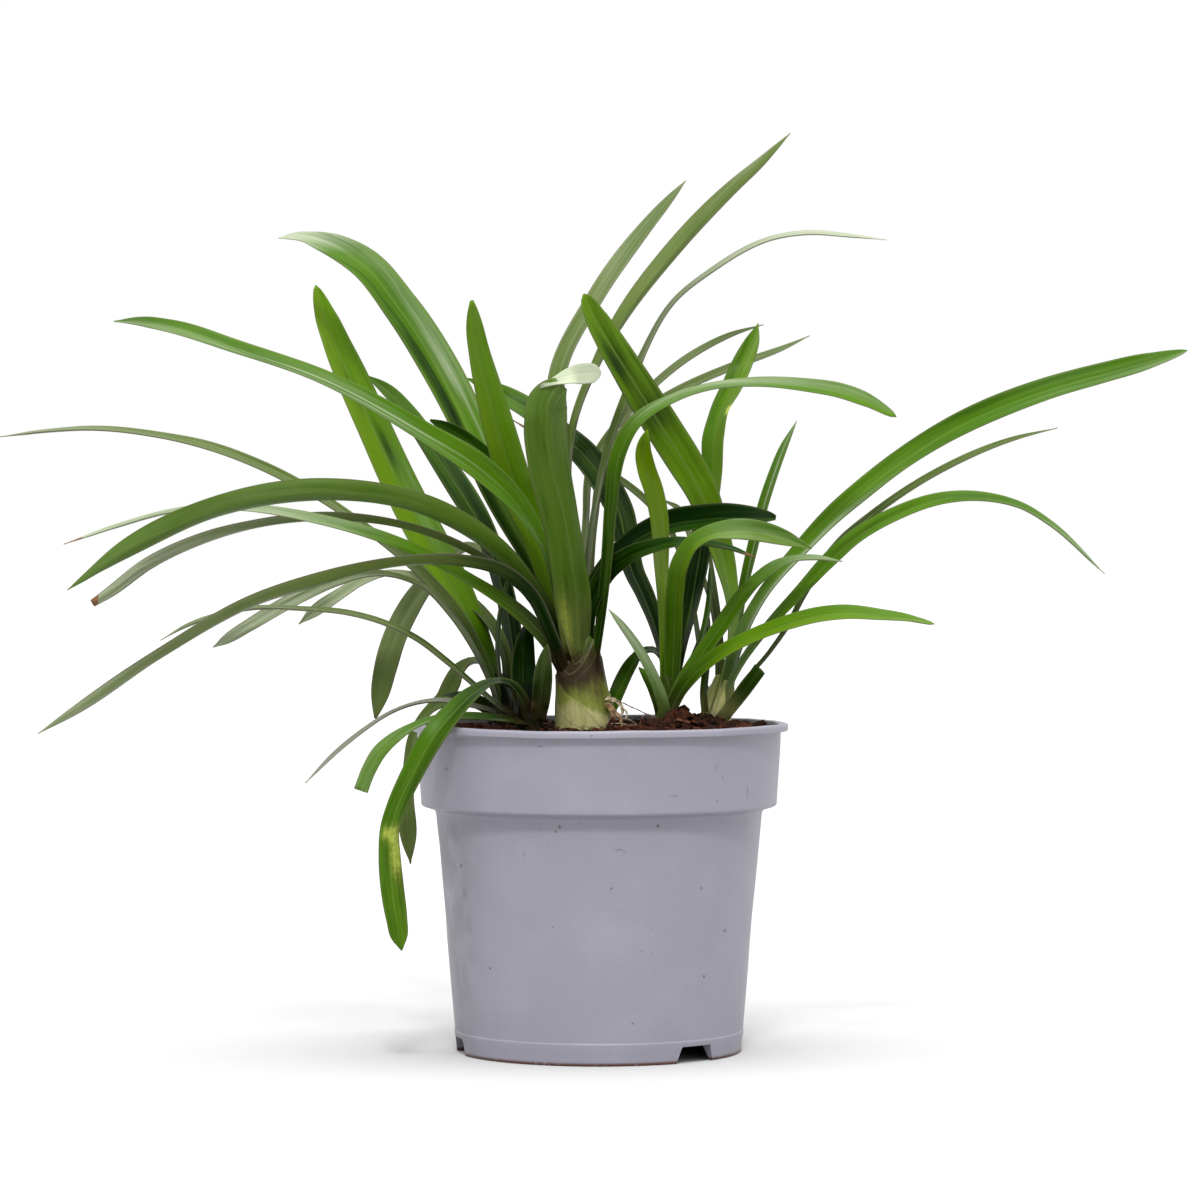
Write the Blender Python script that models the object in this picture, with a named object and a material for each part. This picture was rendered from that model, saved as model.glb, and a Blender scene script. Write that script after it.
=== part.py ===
"""A young agapanthus in a round nursery pot: pot, potting soil, bark mulch and seven leafy shoots.

The origin is on the floor, on the pot's axis. +Z is up and the plant's front faces -Y.
"""
import math

import bpy
import numpy as np

MM = 0.001

# Pot, in metres: radii and heights of its turned outline
LIP_RADIUS = 0.0866
LIP_HEIGHT = 0.0035
POT_HEIGHT = 0.150
COLLAR_TOP_RADIUS = 0.0834
COLLAR_FOOT_RADIUS = 0.0811
COLLAR_FOOT = 0.114
BODY_TOP_RADIUS = 0.0743
BODY_TOP = 0.109
FOOT_RADIUS = 0.0648
LEDGE_HEIGHT = 0.0098
LEDGE_STEP = 0.0004
WALL = 0.0013
POT_SIDES = 48
# Small chamfers of the outline: at the collar's foot, under and on the lip, and inside the two shoulders
COLLAR_CHAMFER = 0.0006
COLLAR_SLOPE = 0.0016
LIP_CHAMFER = 0.001
LIP_FOOT_INSET = 0.0004
LIP_TOP_INSET = 0.0008
SHOULDER_RISE = 0.0012
PAD_INSET = 0.0008

# Under the pot: a foot ring, a raised drainage channel with holes, and a flat middle pad
FOOT_RING = 0.0023
CHANNEL_HEIGHT = 0.008
CHANNEL_OUTER = 0.0600
CHANNEL_INNER = 0.0300
PAD_RADIUS = 0.0240
DRAIN_HOLES = 8
DRAIN_HOLE_RADIUS = 0.0042
NOTCH_HEIGHT = 0.0075
NOTCH_FOOT_WIDTH = 0.023
NOTCH_TOP_WIDTH = 0.017
NOTCH_TURNS = (-48, -168, 72)
DRAIN_SIDES = 12
# How far the cutters reach past the wall: inwards, outwards, below the floor, and past a drain hole
CUT_INWARDS = 0.007
CUT_OUTWARDS = 0.006
CUT_BELOW = 0.001
DRAIN_CUT = 0.002

# Soil and mulch
GAP = 0.0003
WALL_GAP = 0.0004
SOIL_TOP = 0.1425
MULCH_TOP = 0.1462
MULCH_SWELL = 0.0008
MOUND_RISE = 0.0035
MOUND_AT = (0.040, -0.014)
MOUND_REACH = 0.019
SOIL_SHOULDER = 0.003
MULCH_RINGS = 7
MULCH_EDGE_SWELL = 0.4
# Waves of the mulch: how many round the pot, and how far each ring turns them
MULCH_WAVES = ((5, 2.1), (3, -1.3))
HOLE_FLOOR = 0.1337
HOLE_SIDES = 20
HOLE_ABOVE_POT = 0.02
NECK_IN_HOLE = 170

# Leaf section
MIDRIB_THICKNESS = 1.3
EDGE_THICKNESS = 0.85
STATION_STEP = 19
FEWEST_STATIONS = 7
MOST_STATIONS = 18
LEAST_WIDTH = 0.8
# The channel is never deeper than this share of the width that the front sees
LARGEST_RISE = 0.5
# A blade's width: share of the full width at its root, and how fast it grows from there
ROOT_WIDTH = 0.6
ROOT_GROWTH = 1.6
# Where the blade starts to narrow to its tip and how bluntly it ends: a round tip, and a pointed one
ROUND_TIP = (0.86, 0.5)
POINTED_TIP = (0.72, 0.9)
TIP_CURVE = 2.2
NECK_SIDES = 10
ROOT_SIDES = 5

# Edges sharper than this stay sharp, in degrees
POT_EDGE = 35
LEAF_EDGE = 40

# Base colours and roughness
PLASTIC = ((0.22, 0.21, 0.26), 0.45)
EARTH = ((0.035, 0.022, 0.014), 0.95)
BARK = ((0.09, 0.04, 0.022), 0.9)
LEAF_GREEN = ((0.10, 0.21, 0.045), 0.42)

# The leaves' points are given as they line up in the front view, from an eye in front of the pot
EYE_FRONT = 2133
EYE_UP = 243

# Each shoot's neck, foot to top, in mm: across, back, up, half width, half depth
NECKS = {
    "shoot_center": [
        (-6, -8, 134, 10, 9.5), (-6, -8, 147, 12.2, 11.5), (-6.2, -8, 156, 12, 11.3),
        (-7.2, -8, 166, 10.8, 10.2), (-8.5, -8.5, 176, 10, 9.2), (-10, -9, 188, 9.6, 8.4),
        (-11.5, -9.5, 199, 8.6, 7), (-12.2, -10, 205, 5.5, 4.5)],
    "shoot_left": [
        (-41.5, 9, 134, 3.6, 4.6), (-42, 9, 150, 4.6, 5.4), (-44.5, 10, 162, 4.2, 4.8),
        (-47.5, 11, 172, 3, 3.6)],
    "shoot_left_back": [
        (-37, 29, 134, 4, 4.2), (-37, 29, 148, 5, 5), (-37.5, 30, 160, 4.4, 4.6),
        (-38.5, 31, 171, 3, 3.4)],
    "shoot_left_front": [
        (-31.5, -17, 134, 4.6, 4.6), (-31.5, -17, 149, 5.8, 5.6), (-32, -16.5, 160, 5, 5),
        (-33, -16, 168, 3.4, 3.4)],
    "shoot_right": [
        (31, -8, 134, 4.2, 4.6), (30.8, -8, 151, 5, 5.4), (31.5, -8, 163, 4.4, 4.8),
        (32.8, -8, 175, 3.6, 4), (33.4, -8, 182, 2.2, 2.6)],
    "shoot_far_right_back": [
        (51.5, 13, 134, 4.6, 4.6), (52, 13, 151, 5.4, 5.2), (54, 13.5, 161, 4.8, 4.6),
        (56.5, 14, 171, 3.2, 3.2)],
    "shoot_far_right_front": [
        (55, -2, 134, 3.8, 3.8), (55.3, -2, 150, 4.6, 4.6), (57, -2, 160, 3.8, 3.8),
        (59.5, -2, 169, 2.6, 2.8)],
}

# Each leaf: its shoot, full width, lean (1 to the right, -1 to the left), fold of its channel in
# degrees, kind of tip, and points from root to tip in mm: across, up, back, and the width that
# the front view shows, which is below zero where the underside faces the front.
LEAVES = {
    "broad_front": ("shoot_center", 19, 1, 14, "round", [
        (-9, 166, -13, -14), (-11.5, 200, -27, -17), (-14.3, 222, -43, -16), (-18, 245, -62, -16),
        (-23, 270, -84, -18.5), (-24.3, 287, -98, -18), (-23.2, 297, -104.5, -17.5),
        (-21.5, 303, -107.5, -14), (-20, 306.5, -108.5, -9)]),
    "broad_front_tip": ("shoot_center", 8.5, 1, 8, "round", [
        (-25, 304.8, -107.5, 3), (-18, 306.6, -108.5, 6.5), (-11, 308.4, -108, 8.5), (-4.5, 309.2, -106, 8),
        (0.5, 308.4, -103, 4.5)]),
    "long_left": ("shoot_center", 13, -1, 22, "point", [
        (-8, 172, -12, -6), (-22, 199, -22, -7.5), (-42, 225.5, -35, -8), (-75, 247.3, -50, -9),
        (-128, 256, -66, -9.5), (-175, 248, -74, -9.3), (-215, 229.3, -78, -7.8), (-242.5, 210, -80, 0)]),
    "spear_left": ("shoot_center", 12, -1, 16, "point", [
        (-9, 176, -13, 5), (-18, 207, -24, 5), (-25, 231, -34, 5), (-36, 249, -42, 8.5),
        (-54, 266, -50, 11), (-80, 282.5, -58, 9), (-125, 307, -68, 6), (-165, 321, -75, 6),
        (-195, 330.3, -78, 5.5), (-210, 332.6, -80, 3.7), (-221, 332.5, -81, 0)]),
    "broad_left": ("shoot_center", 20, -1, 16, "point", [
        (-10, 174, -4, 7), (-20, 207, -3, 9), (-31, 228, 0, 12), (-47, 258, 7, 15), (-58, 283, 14, 16.5),
        (-73, 312.5, 24, 17), (-90, 339, 34, 16.5), (-108, 360, 42, 14), (-126, 369, 48, 8.5),
        (-137, 371.3, 51, 3), (-146, 370.3, 53, 0)]),
    "blunt_left": ("shoot_center", 15, -1, 12, "point", [
        (-10, 176, -9, 10), (-18.5, 205, -15, 12), (-28, 235, -20, 14), (-38.5, 260, -29, 15),
        (-45, 282, -38, 14), (-50, 300, -45, 12), (-54.5, 318, -52, 9.5), (-57, 332, -57, 7),
        (-58, 342, -60, 2)]),
    "short_left": ("shoot_center", 7, -1, 20, "point", [
        (-12, 190, -7, 3), (-25, 232, -8, 4), (-38, 257, -8, 5), (-56, 275.5, -6, 5.5), (-76, 287, -8, 0)]),
    "low_left": ("shoot_center", 9, -1, 24, "point", [
        (-10, 166, -14, -5), (-22, 192, -28, -5.5), (-31, 208.5, -37, -6), (-43, 218.5, -45, -6),
        (-66, 224, -57, -5), (-85, 223.8, -64, -4), (-105, 221, -70, -4.5), (-130, 214.5, -76, -6),
        (-155, 206.5, -80, -5), (-200, 181.5, -86, -4.5), (-240, 154.5, -90, -3.5), (-256, 144.5, -91, 0)]),
    "brown_tip_left": ("shoot_center", 8, -1, 20, "point", [
        (-12, 176, -9, -3), (-24, 196, -13, -3), (-40, 216, -18, -3), (-60, 229, -20, -3),
        (-90, 240, -22, -3), (-120, 243.7, -25, -4), (-158, 240, -28, -3.5), (-180, 234, -30, -5),
        (-205, 222.5, -31, -5.5), (-224, 208.5, -32, -4.5), (-231, 204, -32, -3)]),
    "pale_tip_left": ("shoot_center", 8, -1, 18, "point", [
        (-10, 166, -10, 5), (-24, 187.5, -14, 6.5), (-34, 198, -16, 6.5), (-60, 215.8, -22, 5),
        (-90, 231, -30, 5), (-130, 243, -38, 4.5), (-165, 248, -46, 2.7), (-195, 246.3, -50, 1.6),
        (-220, 239.5, -53, 1.3), (-244, 231, -55, 0)]),
    "upright_back": ("shoot_center", 12, 1, 16, "point", [
        (-10, 176, -2, 6), (-15, 225, 8, 7), (-20, 283, 27, 8), (-19, 308, 40, 8), (-2, 343, 63, 7.5),
        (20, 374, 85, 6.5), (31, 387, 93, 4), (39.5, 396.5, 98, 0)]),
    "tall_back": ("shoot_center", 11, 1, 20, "point", [
        (-8, 176, -2, 3), (-12, 235, 9, 3), (-14.3, 266, 14, 3), (-11.5, 287, 20, 3.3), (-1, 314, 30, 4),
        (8, 331, 38, 5.5), (32, 363.5, 57, 7.7), (60, 393, 74, 6), (73, 404.5, 80, 4.3), (87, 418, 86, 0)]),
    "thin_back": ("shoot_center", 8, 1, 18, "point", [
        (-4, 180, -2, 2), (-5.5, 222, 6, 2), (-1.5, 250, 10, 2.3), (4.5, 277, 18, 3.5), (12, 297, 27, 4.5),
        (20, 318, 38, 2.5), (35, 343, 50, 2), (50, 355, 56, 2), (80, 370.8, 65, 1.6), (96, 373, 69, 1.9),
        (112, 371.8, 73, 1.6), (131, 369.5, 76, 0)]),
    "far_arc_high": ("shoot_center", 6, 1, 18, "point", [
        (-6, 180, 0, 3), (-7, 215, 26, 3), (-6, 243, 50, 3), (-3, 268, 70, 3.5), (16, 294.5, 81, 3.5),
        (45, 319, 91, 3), (60, 326.5, 94, 2.2), (75, 331, 97, 0)]),
    "far_arc_low": ("shoot_center", 6, 1, 18, "point", [
        (-4, 180, 0, 3), (-4, 215, 22, 3), (-2, 243, 44, 3), (1, 262, 58, 3.5), (8, 278, 62, 4),
        (17, 289.5, 66, 4), (30, 298, 70, 3.5), (58, 311, 79, 3.5), (85, 321, 88, 2), (96, 326, 91, 0)]),
    "right_arch": ("shoot_center", 9, 1, 18, "point", [
        (-3, 170, -9, 3), (0.5, 192, -13, 3.5), (4, 230, -22, 4.8), (5.5, 250, -27, 5.6), (9, 273, -33, 7),
        (16, 286, -38, 6), (36, 298.5, -43, 3.5), (50, 302.8, -46, 3), (70, 305, -49, 4.2),
        (95, 303.5, -53, 5.7), (110, 301, -56, 6.3), (122, 296.7, -58, 5.8), (135.5, 289, -60, 0)]),
    "dark_folded": ("shoot_center", 13, 1, 30, "round", [
        (-6, 182, -6, 6), (-5, 205, -2, 8), (8, 226.5, -2, 8), (20, 236.5, -4, 9), (33, 241.5, -8, 11),
        (46, 243.5, -14, 11), (58, 244.5, -20, 10), (70, 244, -25, 7.5), (80.5, 243.2, -28, 3)]),
    "dark_brown_tip": ("shoot_center", 9, 1, 22, "point", [
        (-6, 180, -11, 6), (-4, 203, -14, 7), (3, 217.5, -17, 8.5), (12, 225, -24, 8), (24, 230, -34, 6),
        (36, 232.2, -37, 4), (48, 231.7, -39, 2.5), (60, 229.5, -41, 1.8), (70.5, 225.3, -43, 0.8)]),
    "bright_left": ("shoot_left", 18, -1, 14, "point", [
        (-42, 152, 11, 6), (-46.5, 166, 14, 6), (-52, 183, 19, 8), (-58.5, 198, 24, 11.5), (-67, 214, 31, 15),
        (-76, 230, 38, 16.5), (-86, 249, 46, 16.5), (-104, 288, 62, 15.5), (-112, 306, 70, 14.5),
        (-119, 322, 76, 12.5), (-125, 337, 81, 9), (-129, 349, 85, 0)]),
    "thin_long_left": ("shoot_left", 9, -1, 20, "point", [
        (-43, 152, 5, 3), (-50.5, 173, 2, 4), (-60, 193, 0, 4.5), (-80, 217.3, -4, 4.8), (-104, 237, -8, 4),
        (-135, 257.5, -10, 4), (-155, 267.5, -12, 4), (-178, 276, -13, 4), (-200, 280.8, -14, 2.6),
        (-232, 284, -16, 1.5), (-252, 282.8, -16, 1), (-273, 280, -17, 0.5)]),
    "olive_left": ("shoot_left", 9, -1, 18, "point", [
        (-43, 150, 4, 2), (-49, 167, -2, 2), (-57, 183.5, -7, 2), (-67, 198.5, -10, 2), (-80, 211.8, -13, 2),
        (-92, 216.8, -16, 2), (-105, 218, -20, 3.5), (-120, 214.5, -24, 5), (-140, 205.5, -28, 6),
        (-160, 193.8, -32, 5.5), (-171, 187, -34, 3.5), (-176, 184, -35, 0)]),
    "pale_left": ("shoot_left", 8, -1, 18, "point", [
        (-42, 158, 13, 4), (-42.5, 181, 20, 5), (-48, 193.5, 26, 5), (-56, 203, 32, 5), (-66, 210, 38, 4.5),
        (-80, 215.5, 43, 4), (-97, 217.8, 48, 2.5), (-108, 214.5, 50, 4), (-118, 208.5, 52, 5.2),
        (-130, 200.3, 54, 5), (-137, 194.5, 56, 0)]),
    "thin_upright_left": ("shoot_left", 4, -1, 14, "point", [
        (-43.5, 156, 8, 1.8), (-46.2, 186, 5, 1.8), (-45.3, 198, 4, 2), (-43, 208, 4, 2),
        (-40.5, 220, 5, 0.6)]),
    "green_back_left": ("shoot_left_back", 13, -1, 14, "point", [
        (-37, 152, 29, 6), (-38, 175, 32, 8), (-41, 200, 40, 8.5), (-46, 220, 47, 9), (-51.5, 236, 54, 10),
        (-60, 251, 62, 11.5), (-69, 265, 70, 10.5), (-79, 280, 78, 9), (-88, 292.5, 86, 7.5),
        (-97, 301.8, 92, 5.5), (-106, 308, 97, 0)]),
    "drooping_back_left": ("shoot_left_back", 13, -1, 12, "point", [
        (-36, 154, 32, 5), (-37, 185, 48, 5), (-44, 210, 61, 5), (-52, 226, 70, 4), (-60, 229.5, 76, 4),
        (-68, 225.5, 80, 6), (-77, 215.5, 84, 8), (-86, 203, 87, 10.5), (-93, 189, 90, 11),
        (-97.5, 174, 92, 10.5), (-100, 162, 93, 8), (-102, 151.5, 94, 1)]),
    "hanging_back_left": ("shoot_left_back", 9, -1, 14, "point", [
        (-38, 152, 30, 3), (-45, 168, 36, 2), (-52, 177, 41, 1.8), (-58, 177.8, 45, 3), (-64, 173.5, 48, 6.5),
        (-67.5, 167, 50, 8), (-71, 161, 51, 7), (-76, 157, 52, 4.5), (-81, 151.5, 52, 3.5),
        (-85, 143, 51, 4), (-87, 130, 50, 4.5), (-87.5, 113, 49, 6.5), (-87, 98, 48, 7.3), (-86, 85, 48, 0)]),
    "low_back_left": ("shoot_left_back", 8, -1, 14, "point", [
        (-38, 151, 27, 5), (-47, 154.5, 27, 5.5), (-54, 158.5, 28, 6.5), (-62, 162, 29, 4),
        (-71, 162.4, 30, 0)]),
    "dry_left": ("shoot_left_back", 4, -1, 14, "point", [
        (-38.5, 151, 27, 2), (-48, 155, 20, 2), (-60, 158, 14, 2), (-72, 160, 8, 1.8), (-84, 158.6, 2, 1.2),
        (-96, 154, -4, 1.2), (-106, 147.5, -9, 1.4), (-120, 136.2, -13, 1.6), (-134, 122, -16, 0.6)]),
    "folded_left": ("shoot_left_front", 11, -1, 14, "point", [
        (-32, 152, -20, 5), (-34.5, 160, -26, 5), (-39, 166.3, -32, 3.5), (-45, 168.6, -38, 2.2),
        (-51, 167.8, -44, 3.8), (-58, 163.3, -50, 6.5), (-66, 155.5, -56, 8.5), (-76, 143, -62, 10),
        (-86, 125, -64, 9.5), (-92, 112, -65, 9), (-95.3, 102, -66, 8.5), (-95.5, 88, -66, 9.5),
        (-94.3, 74, -65, 10), (-92.3, 60, -64, 9), (-91, 51, -63, 6.5), (-90, 45.5, -63, 0)]),
    "cut_left": ("shoot_left_front", 7.5, -1, 14, "cut", [
        (-33, 150, -22, 2.5), (-48, 152.2, -32, 3), (-62, 152.8, -40, 3), (-76, 151.4, -46, 2.2),
        (-85, 148, -50, 3), (-93, 143, -53, 5), (-100, 136.5, -55, 6.3), (-105, 128, -56, 6.3),
        (-108.7, 118.5, -57, 6)]),
    "thin_drooping_left": ("shoot_left_front", 6, -1, 18, "point", [
        (-33, 150, -19, 2), (-45, 157, -23, 2), (-57, 167.2, -26, 2), (-70, 178.3, -30, 2.5),
        (-82, 187.5, -33, 2.6), (-97, 195, -36, 2.3), (-115, 200, -39, 2), (-135, 201.8, -42, 1.6),
        (-155, 200.5, -45, 1.5), (-172, 197, -47, 1.2), (-200, 185.3, -51, 0)]),
    "short_dark_left": ("shoot_left_front", 9, -1, 14, "point", [
        (-33, 152, -13, 7), (-34.5, 165, -11, 8), (-35.3, 178, -9, 7.5), (-33.8, 190, -7, 4.5),
        (-31.5, 196, -6, 0.8)]),
    "short_pale_left": ("shoot_left_front", 6, 1, 14, "point", [
        (-29, 151, -21, 6), (-28, 161, -25, 6), (-26.5, 172, -28, 5), (-24.3, 181.5, -30, 2.5),
        (-23.3, 185, -31, 0.6)]),
    "upright_right": ("shoot_right", 10, -1, 14, "point", [
        (30.5, 152, -8, 5), (31, 172, -7, 6), (30.4, 190, -7, 5.5), (29.3, 207, -10, 5.5),
        (28.5, 222, -14, 6.5),
        (28.2, 234, -20, 7.5), (27.2, 245, -26, 8), (24.8, 256, -33, 8.3), (21.5, 266, -41, 8),
        (20.3, 274, -48, 6.7), (21.2, 280, -53, 3.6), (22, 283, -55, 0.6)]),
    "bowed_right": ("shoot_right", 10, 1, 16, "point", [
        (31, 152, -9, 6), (33, 170, -12, 7), (34, 192, -20, 7.5), (34.8, 210, -32, 8), (37.3, 223, -43, 8),
        (43, 232, -49, 7), (51, 236.6, -53, 6.5), (61, 238, -56, 8.5), (73, 237, -59, 9),
        (85, 233.8, -61, 6.5), (97, 229, -62, 0)]),
    "twisted_right": ("shoot_right", 13, 1, 12, "point", [
        (32, 154, -6, 5), (35, 172, -3, 4.5), (37.7, 186, 2, 5.5), (41, 201, 8, 8), (44, 218, 14, 10),
        (46.7, 234, 19, 9.5), (49.5, 250, 25, 9.5), (51.5, 265, 30, 9.5), (52, 280, 35, 10),
        (54.5, 291, 40, 8), (60.5, 303, 47, 9), (65.5, 314, 54, 9), (70, 324, 60, 6), (72.5, 331.5, 64, 0)]),
    "crossing_right": ("shoot_right", 14, -1, 14, "point", [
        (31, 160, -4, 4), (30, 177, 3, 4), (26.3, 194, 9, 6.5), (21, 208, 14, 8.5), (15.5, 220, 19, 9.5),
        (12.8, 232, 23, 11), (10, 245, 28, 12), (3.5, 258, 33, 12.5), (-6, 271.5, 39, 12.5),
        (-19, 283, 45, 11), (-33, 293.5, 50, 9.5), (-46, 300.5, 55, 7.5), (-60, 306.5, 60, 0.6)]),
    "pale_tip_right": ("shoot_right", 8, 1, 16, "point", [
        (31, 154, -12, 5), (38, 168, -17, 6), (50, 186, -24, 6.5), (57, 196, -27, 6.7), (64, 206, -30, 6.5),
        (72, 215, -33, 5.5), (80, 221, -36, 4.8), (88, 224.3, -39, 2.6), (99, 225, -42, 1.9),
        (111, 223.2, -44, 0)]),
    "low_right": ("shoot_right", 9, 1, 16, "point", [
        (31, 152, -12, 5), (38, 166, -22, 6), (44, 173, -27, 6.7), (52, 179.5, -32, 6.3), (75, 191.5, -40, 6),
        (88, 196, -44, 6.3), (100, 199, -47, 6.5), (113, 200.2, -50, 6.3), (128, 199, -53, 5),
        (141, 197.5, -55, 3), (153, 194.6, -57, 0)]),
    "small_right": ("shoot_right", 6, -1, 14, "point", [
        (30.5, 151, -12, 5), (29, 159, -17, 5.5), (26, 168, -21, 4.6), (16, 186.5, -27, 3.9),
        (10.5, 194, -30, 3), (4.5, 201.3, -33, 0.5)]),
    "stub_pointed_right": ("shoot_right", 6, -1, 12, "point", [
        (29, 151, -9, 5), (27, 159, -11, 5), (24.5, 166, -12, 5), (21, 171.5, -13, 3.5),
        (18, 175, -14, 0.5)]),
    "hooked_right": ("shoot_right", 8, -1, 26, "point", [
        (31, 154, -4, 5), (31.5, 168, 5, 3), (29, 179, 12, 2.5), (24.5, 183, 16, 2.2), (19.5, 182, 18, 3),
        (15, 177, 19, 5.5), (11, 170, 19, 6.5), (8, 163, 18, 6.5), (5.5, 156, 17, 5), (4, 151.5, 16, 2)]),
    "thin_middle": ("shoot_right", 5, 1, 14, "point", [
        (32, 156, -5, 2.2), (38, 170, 3, 2.2), (43, 180, 5, 2.3), (47, 190, 6, 2.3), (49.8, 203, 7, 2.3),
        (50.5, 222, 8, 0.6)]),
    "big_crossing": ("shoot_far_right_back", 17, -1, 10, "round", [
        (53, 152, 12, 6), (56.5, 165, 14, 5.5), (60, 180, 17, 4.7), (61.3, 195, 18, 4.8), (60.5, 208, 18, 6),
        (57.5, 223, 16, 9), (52.5, 240, 11, 12.3), (46.5, 256, 6, 14.7), (39.5, 268, 3, 16),
        (30, 283, -1, 16),
        (12, 312, -7, 14), (4, 325, -9, 12.5), (-2.5, 336, -11, 9), (-7, 345, -12, 1)]),
    "narrow_upright_right": ("shoot_far_right_back", 7, 1, 20, "point", [
        (54, 152, 16, 4), (60, 172, 24, 4), (62.5, 190, 29, 4), (64.8, 206, 33, 4.2), (71, 234, 40, 4.7),
        (74.5, 248, 44, 4.7), (79, 262, 48, 4.5), (84, 275, 52, 3.5), (90, 287, 56, 0)]),
    "short_middle": ("shoot_far_right_back", 5, 1, 14, "point", [
        (49, 150, 11, 3), (47.7, 162, 8, 3.2), (48.7, 174, 9, 3.2), (49.5, 188, 12, 2.5),
        (50, 200, 15, 0.6)]),
    "wisp_far": ("shoot_far_right_back", 4, -1, 14, "point", [
        (53, 154, 15, 1.8), (54, 170, 20, 1.8), (53.8, 184, 24, 2), (51.5, 203, 30, 2), (46, 220, 36, 2),
        (41, 236, 42, 2.2), (36, 247.5, 47, 2.4), (29.5, 251, 50, 0.6)]),
    "wisp_near": ("shoot_far_right_back", 4, -1, 14, "point", [
        (54, 154, 12, 2), (56, 170, 19, 2), (55.5, 186, 22, 2.2), (54, 200, 26, 2.5), (52, 214, 29, 2.5),
        (50.3, 230, 32, 0.6)]),
    "long_wisp": ("shoot_far_right_back", 5, -1, 14, "point", [
        (51, 154, 17, 2), (47, 176, 24, 2), (43.5, 200, 31, 2), (38.5, 222, 37, 2), (31, 240, 42, 2.5),
        (22, 250.5, 45, 3), (8, 261.5, 47, 3), (-6, 268.5, 49, 2.5), (-20, 276, 55, 2), (-40, 288, 62, 0.6)]),
    "long_right": ("shoot_far_right_front", 13, 1, 18, "point", [
        (55, 152, 1, 4), (58, 167, 2, 4.5), (62, 182, 1, 5), (67, 195, -1, 5.2), (74, 207.5, -3, 5.2),
        (94, 231.5, -6, 7), (106, 244, -8, 8), (120, 256, -11, 9), (136, 268.5, -13, 9.5),
        (156, 281.3, -15, 10), (205, 302.3, -21, 10), (230, 309.3, -23, 9), (250, 314.5, -25, 6.8),
        (268, 319.3, -26, 0)]),
    "wisp_right": ("shoot_far_right_front", 5, 1, 16, "point", [
        (57, 152, -1, 2), (63, 164, -4, 1.6), (78, 182.5, -9, 1.6), (86, 194, -12, 2), (93, 207.5, -14, 2.5),
        (101, 221, -16, 3), (111, 233.5, -18, 3.2), (123, 243.5, -19, 3.3), (152, 263, -23, 2.8),
        (190, 279.5, -27, 1.6), (209, 284, -29, 0)]),
    "curved_right": ("shoot_far_right_front", 9, 1, 20, "point", [
        (55, 152, -3, 3), (60, 168, -8, 3), (74, 190, -17, 3.5), (91, 209, -24, 5), (108, 227, -29, 7),
        (116, 234, -31, 6.7), (133, 244, -34, 6), (158, 252.3, -38, 5), (172, 253, -40, 4.3),
        (194, 248, -42, 2.8), (206, 240.5, -43, 2), (230.5, 217.5, -45, 0)]),
    "cut_right": ("shoot_far_right_front", 7, 1, 12, "cut", [
        (55.5, 151, -6, 5.5), (60, 156.5, -10, 5.7), (66, 164, -13, 5.7), (73.5, 174.3, -16, 5.8)]),
}

# Bark chips on the mulch, in mm: across, back, up, length, width, thickness, turn, tilt, roll (degrees)
CHIPS = [
    (38, -23, 150.6, 17, 9, 3.4, 20, 12, 14), (20, -30, 147.6, 14, 8, 3.4, -35, 8, -8),
    (50, -31, 148.2, 13, 7, 3.0, 65, -10, 8), (14, -50, 146.8, 12, 7, 3.0, 12, 7, 8),
    (34, -48, 147.2, 15, 8, 3.4, -18, 8, -10), (61, -24, 147.4, 12, 6, 3.0, 48, -12, 12),
    (67, -8, 147.2, 9, 6, 3.0, -60, 8, 10), (41, 3, 149.2, 13, 7, 3.6, -28, 16, 12),
    (67, 16, 147, 10, 6, 3.0, 80, 6, -12), (30, 22, 147.2, 12, 8, 3.2, 34, -10, 8),
    (12, 16, 146.8, 12, 7, 3.0, -12, 8, 10), (44, 36, 146.8, 13, 7, 3.0, 8, 8, -8),
    (-14, -38, 146.6, 12, 7, 3.0, 30, 6, -6), (-38, -46, 146.2, 11, 6, 3.0, -42, 5, 6),
    (-12, -60, 146.4, 11, 6, 3.0, 74, 5, 6), (-58, -30, 146, 10, 5, 2.8, 14, 4, 4),
    (-66, 16, 146, 9, 5, 2.8, -70, 4, 4), (-16, 24, 146.8, 12, 7, 3.0, 52, 6, 8),
    (-22, 52, 146.6, 12, 6, 3.0, -24, 5, 8), (14, 50, 146.6, 13, 7, 3.0, 22, 6, -8),
]

# A chip's outline, as shares of its length and width
CHIP_OUTLINE = [(-0.5, -0.2), (-0.3, -0.5), (0.32, -0.45), (0.5, -0.1), (0.4, 0.4), (-0.28, 0.5)]

# Curled dry roots on the centre shoot's foot, in mm: across, back, up along each, then its radius
DRY_ROOTS = [
    (1.2, [(0, -14, 152), (6, -19, 157), (11, -21, 161.5), (16, -20, 159), (18.5, -18, 153.5)]),
    (1.1, [(2, -12, 149.5), (8, -17, 151.5), (13, -22, 154.5), (19, -23, 152)]),
    (1.2, [(0, -16, 148.8), (4, -20, 150.5), (7, -24, 152.5), (11, -26, 151.2)]),
]
# A curled scrap of old sheath on its other side
SHEATH_SCRAP = (1.2, [(-14, -14, 149), (-18.5, -15, 153), (-21.5, -15.5, 156.5), (-23, -15.5, 154)])


def clear_scene():
    for item in list(bpy.data.objects):
        bpy.data.objects.remove(item, do_unlink=True)


def principled(name, colour, roughness):
    material = bpy.data.materials.new(name)
    material.use_nodes = True
    shader = material.node_tree.nodes["Principled BSDF"]
    shader.inputs["Base Color"].default_value = (*colour, 1)
    shader.inputs["Roughness"].default_value = roughness
    return material


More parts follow.
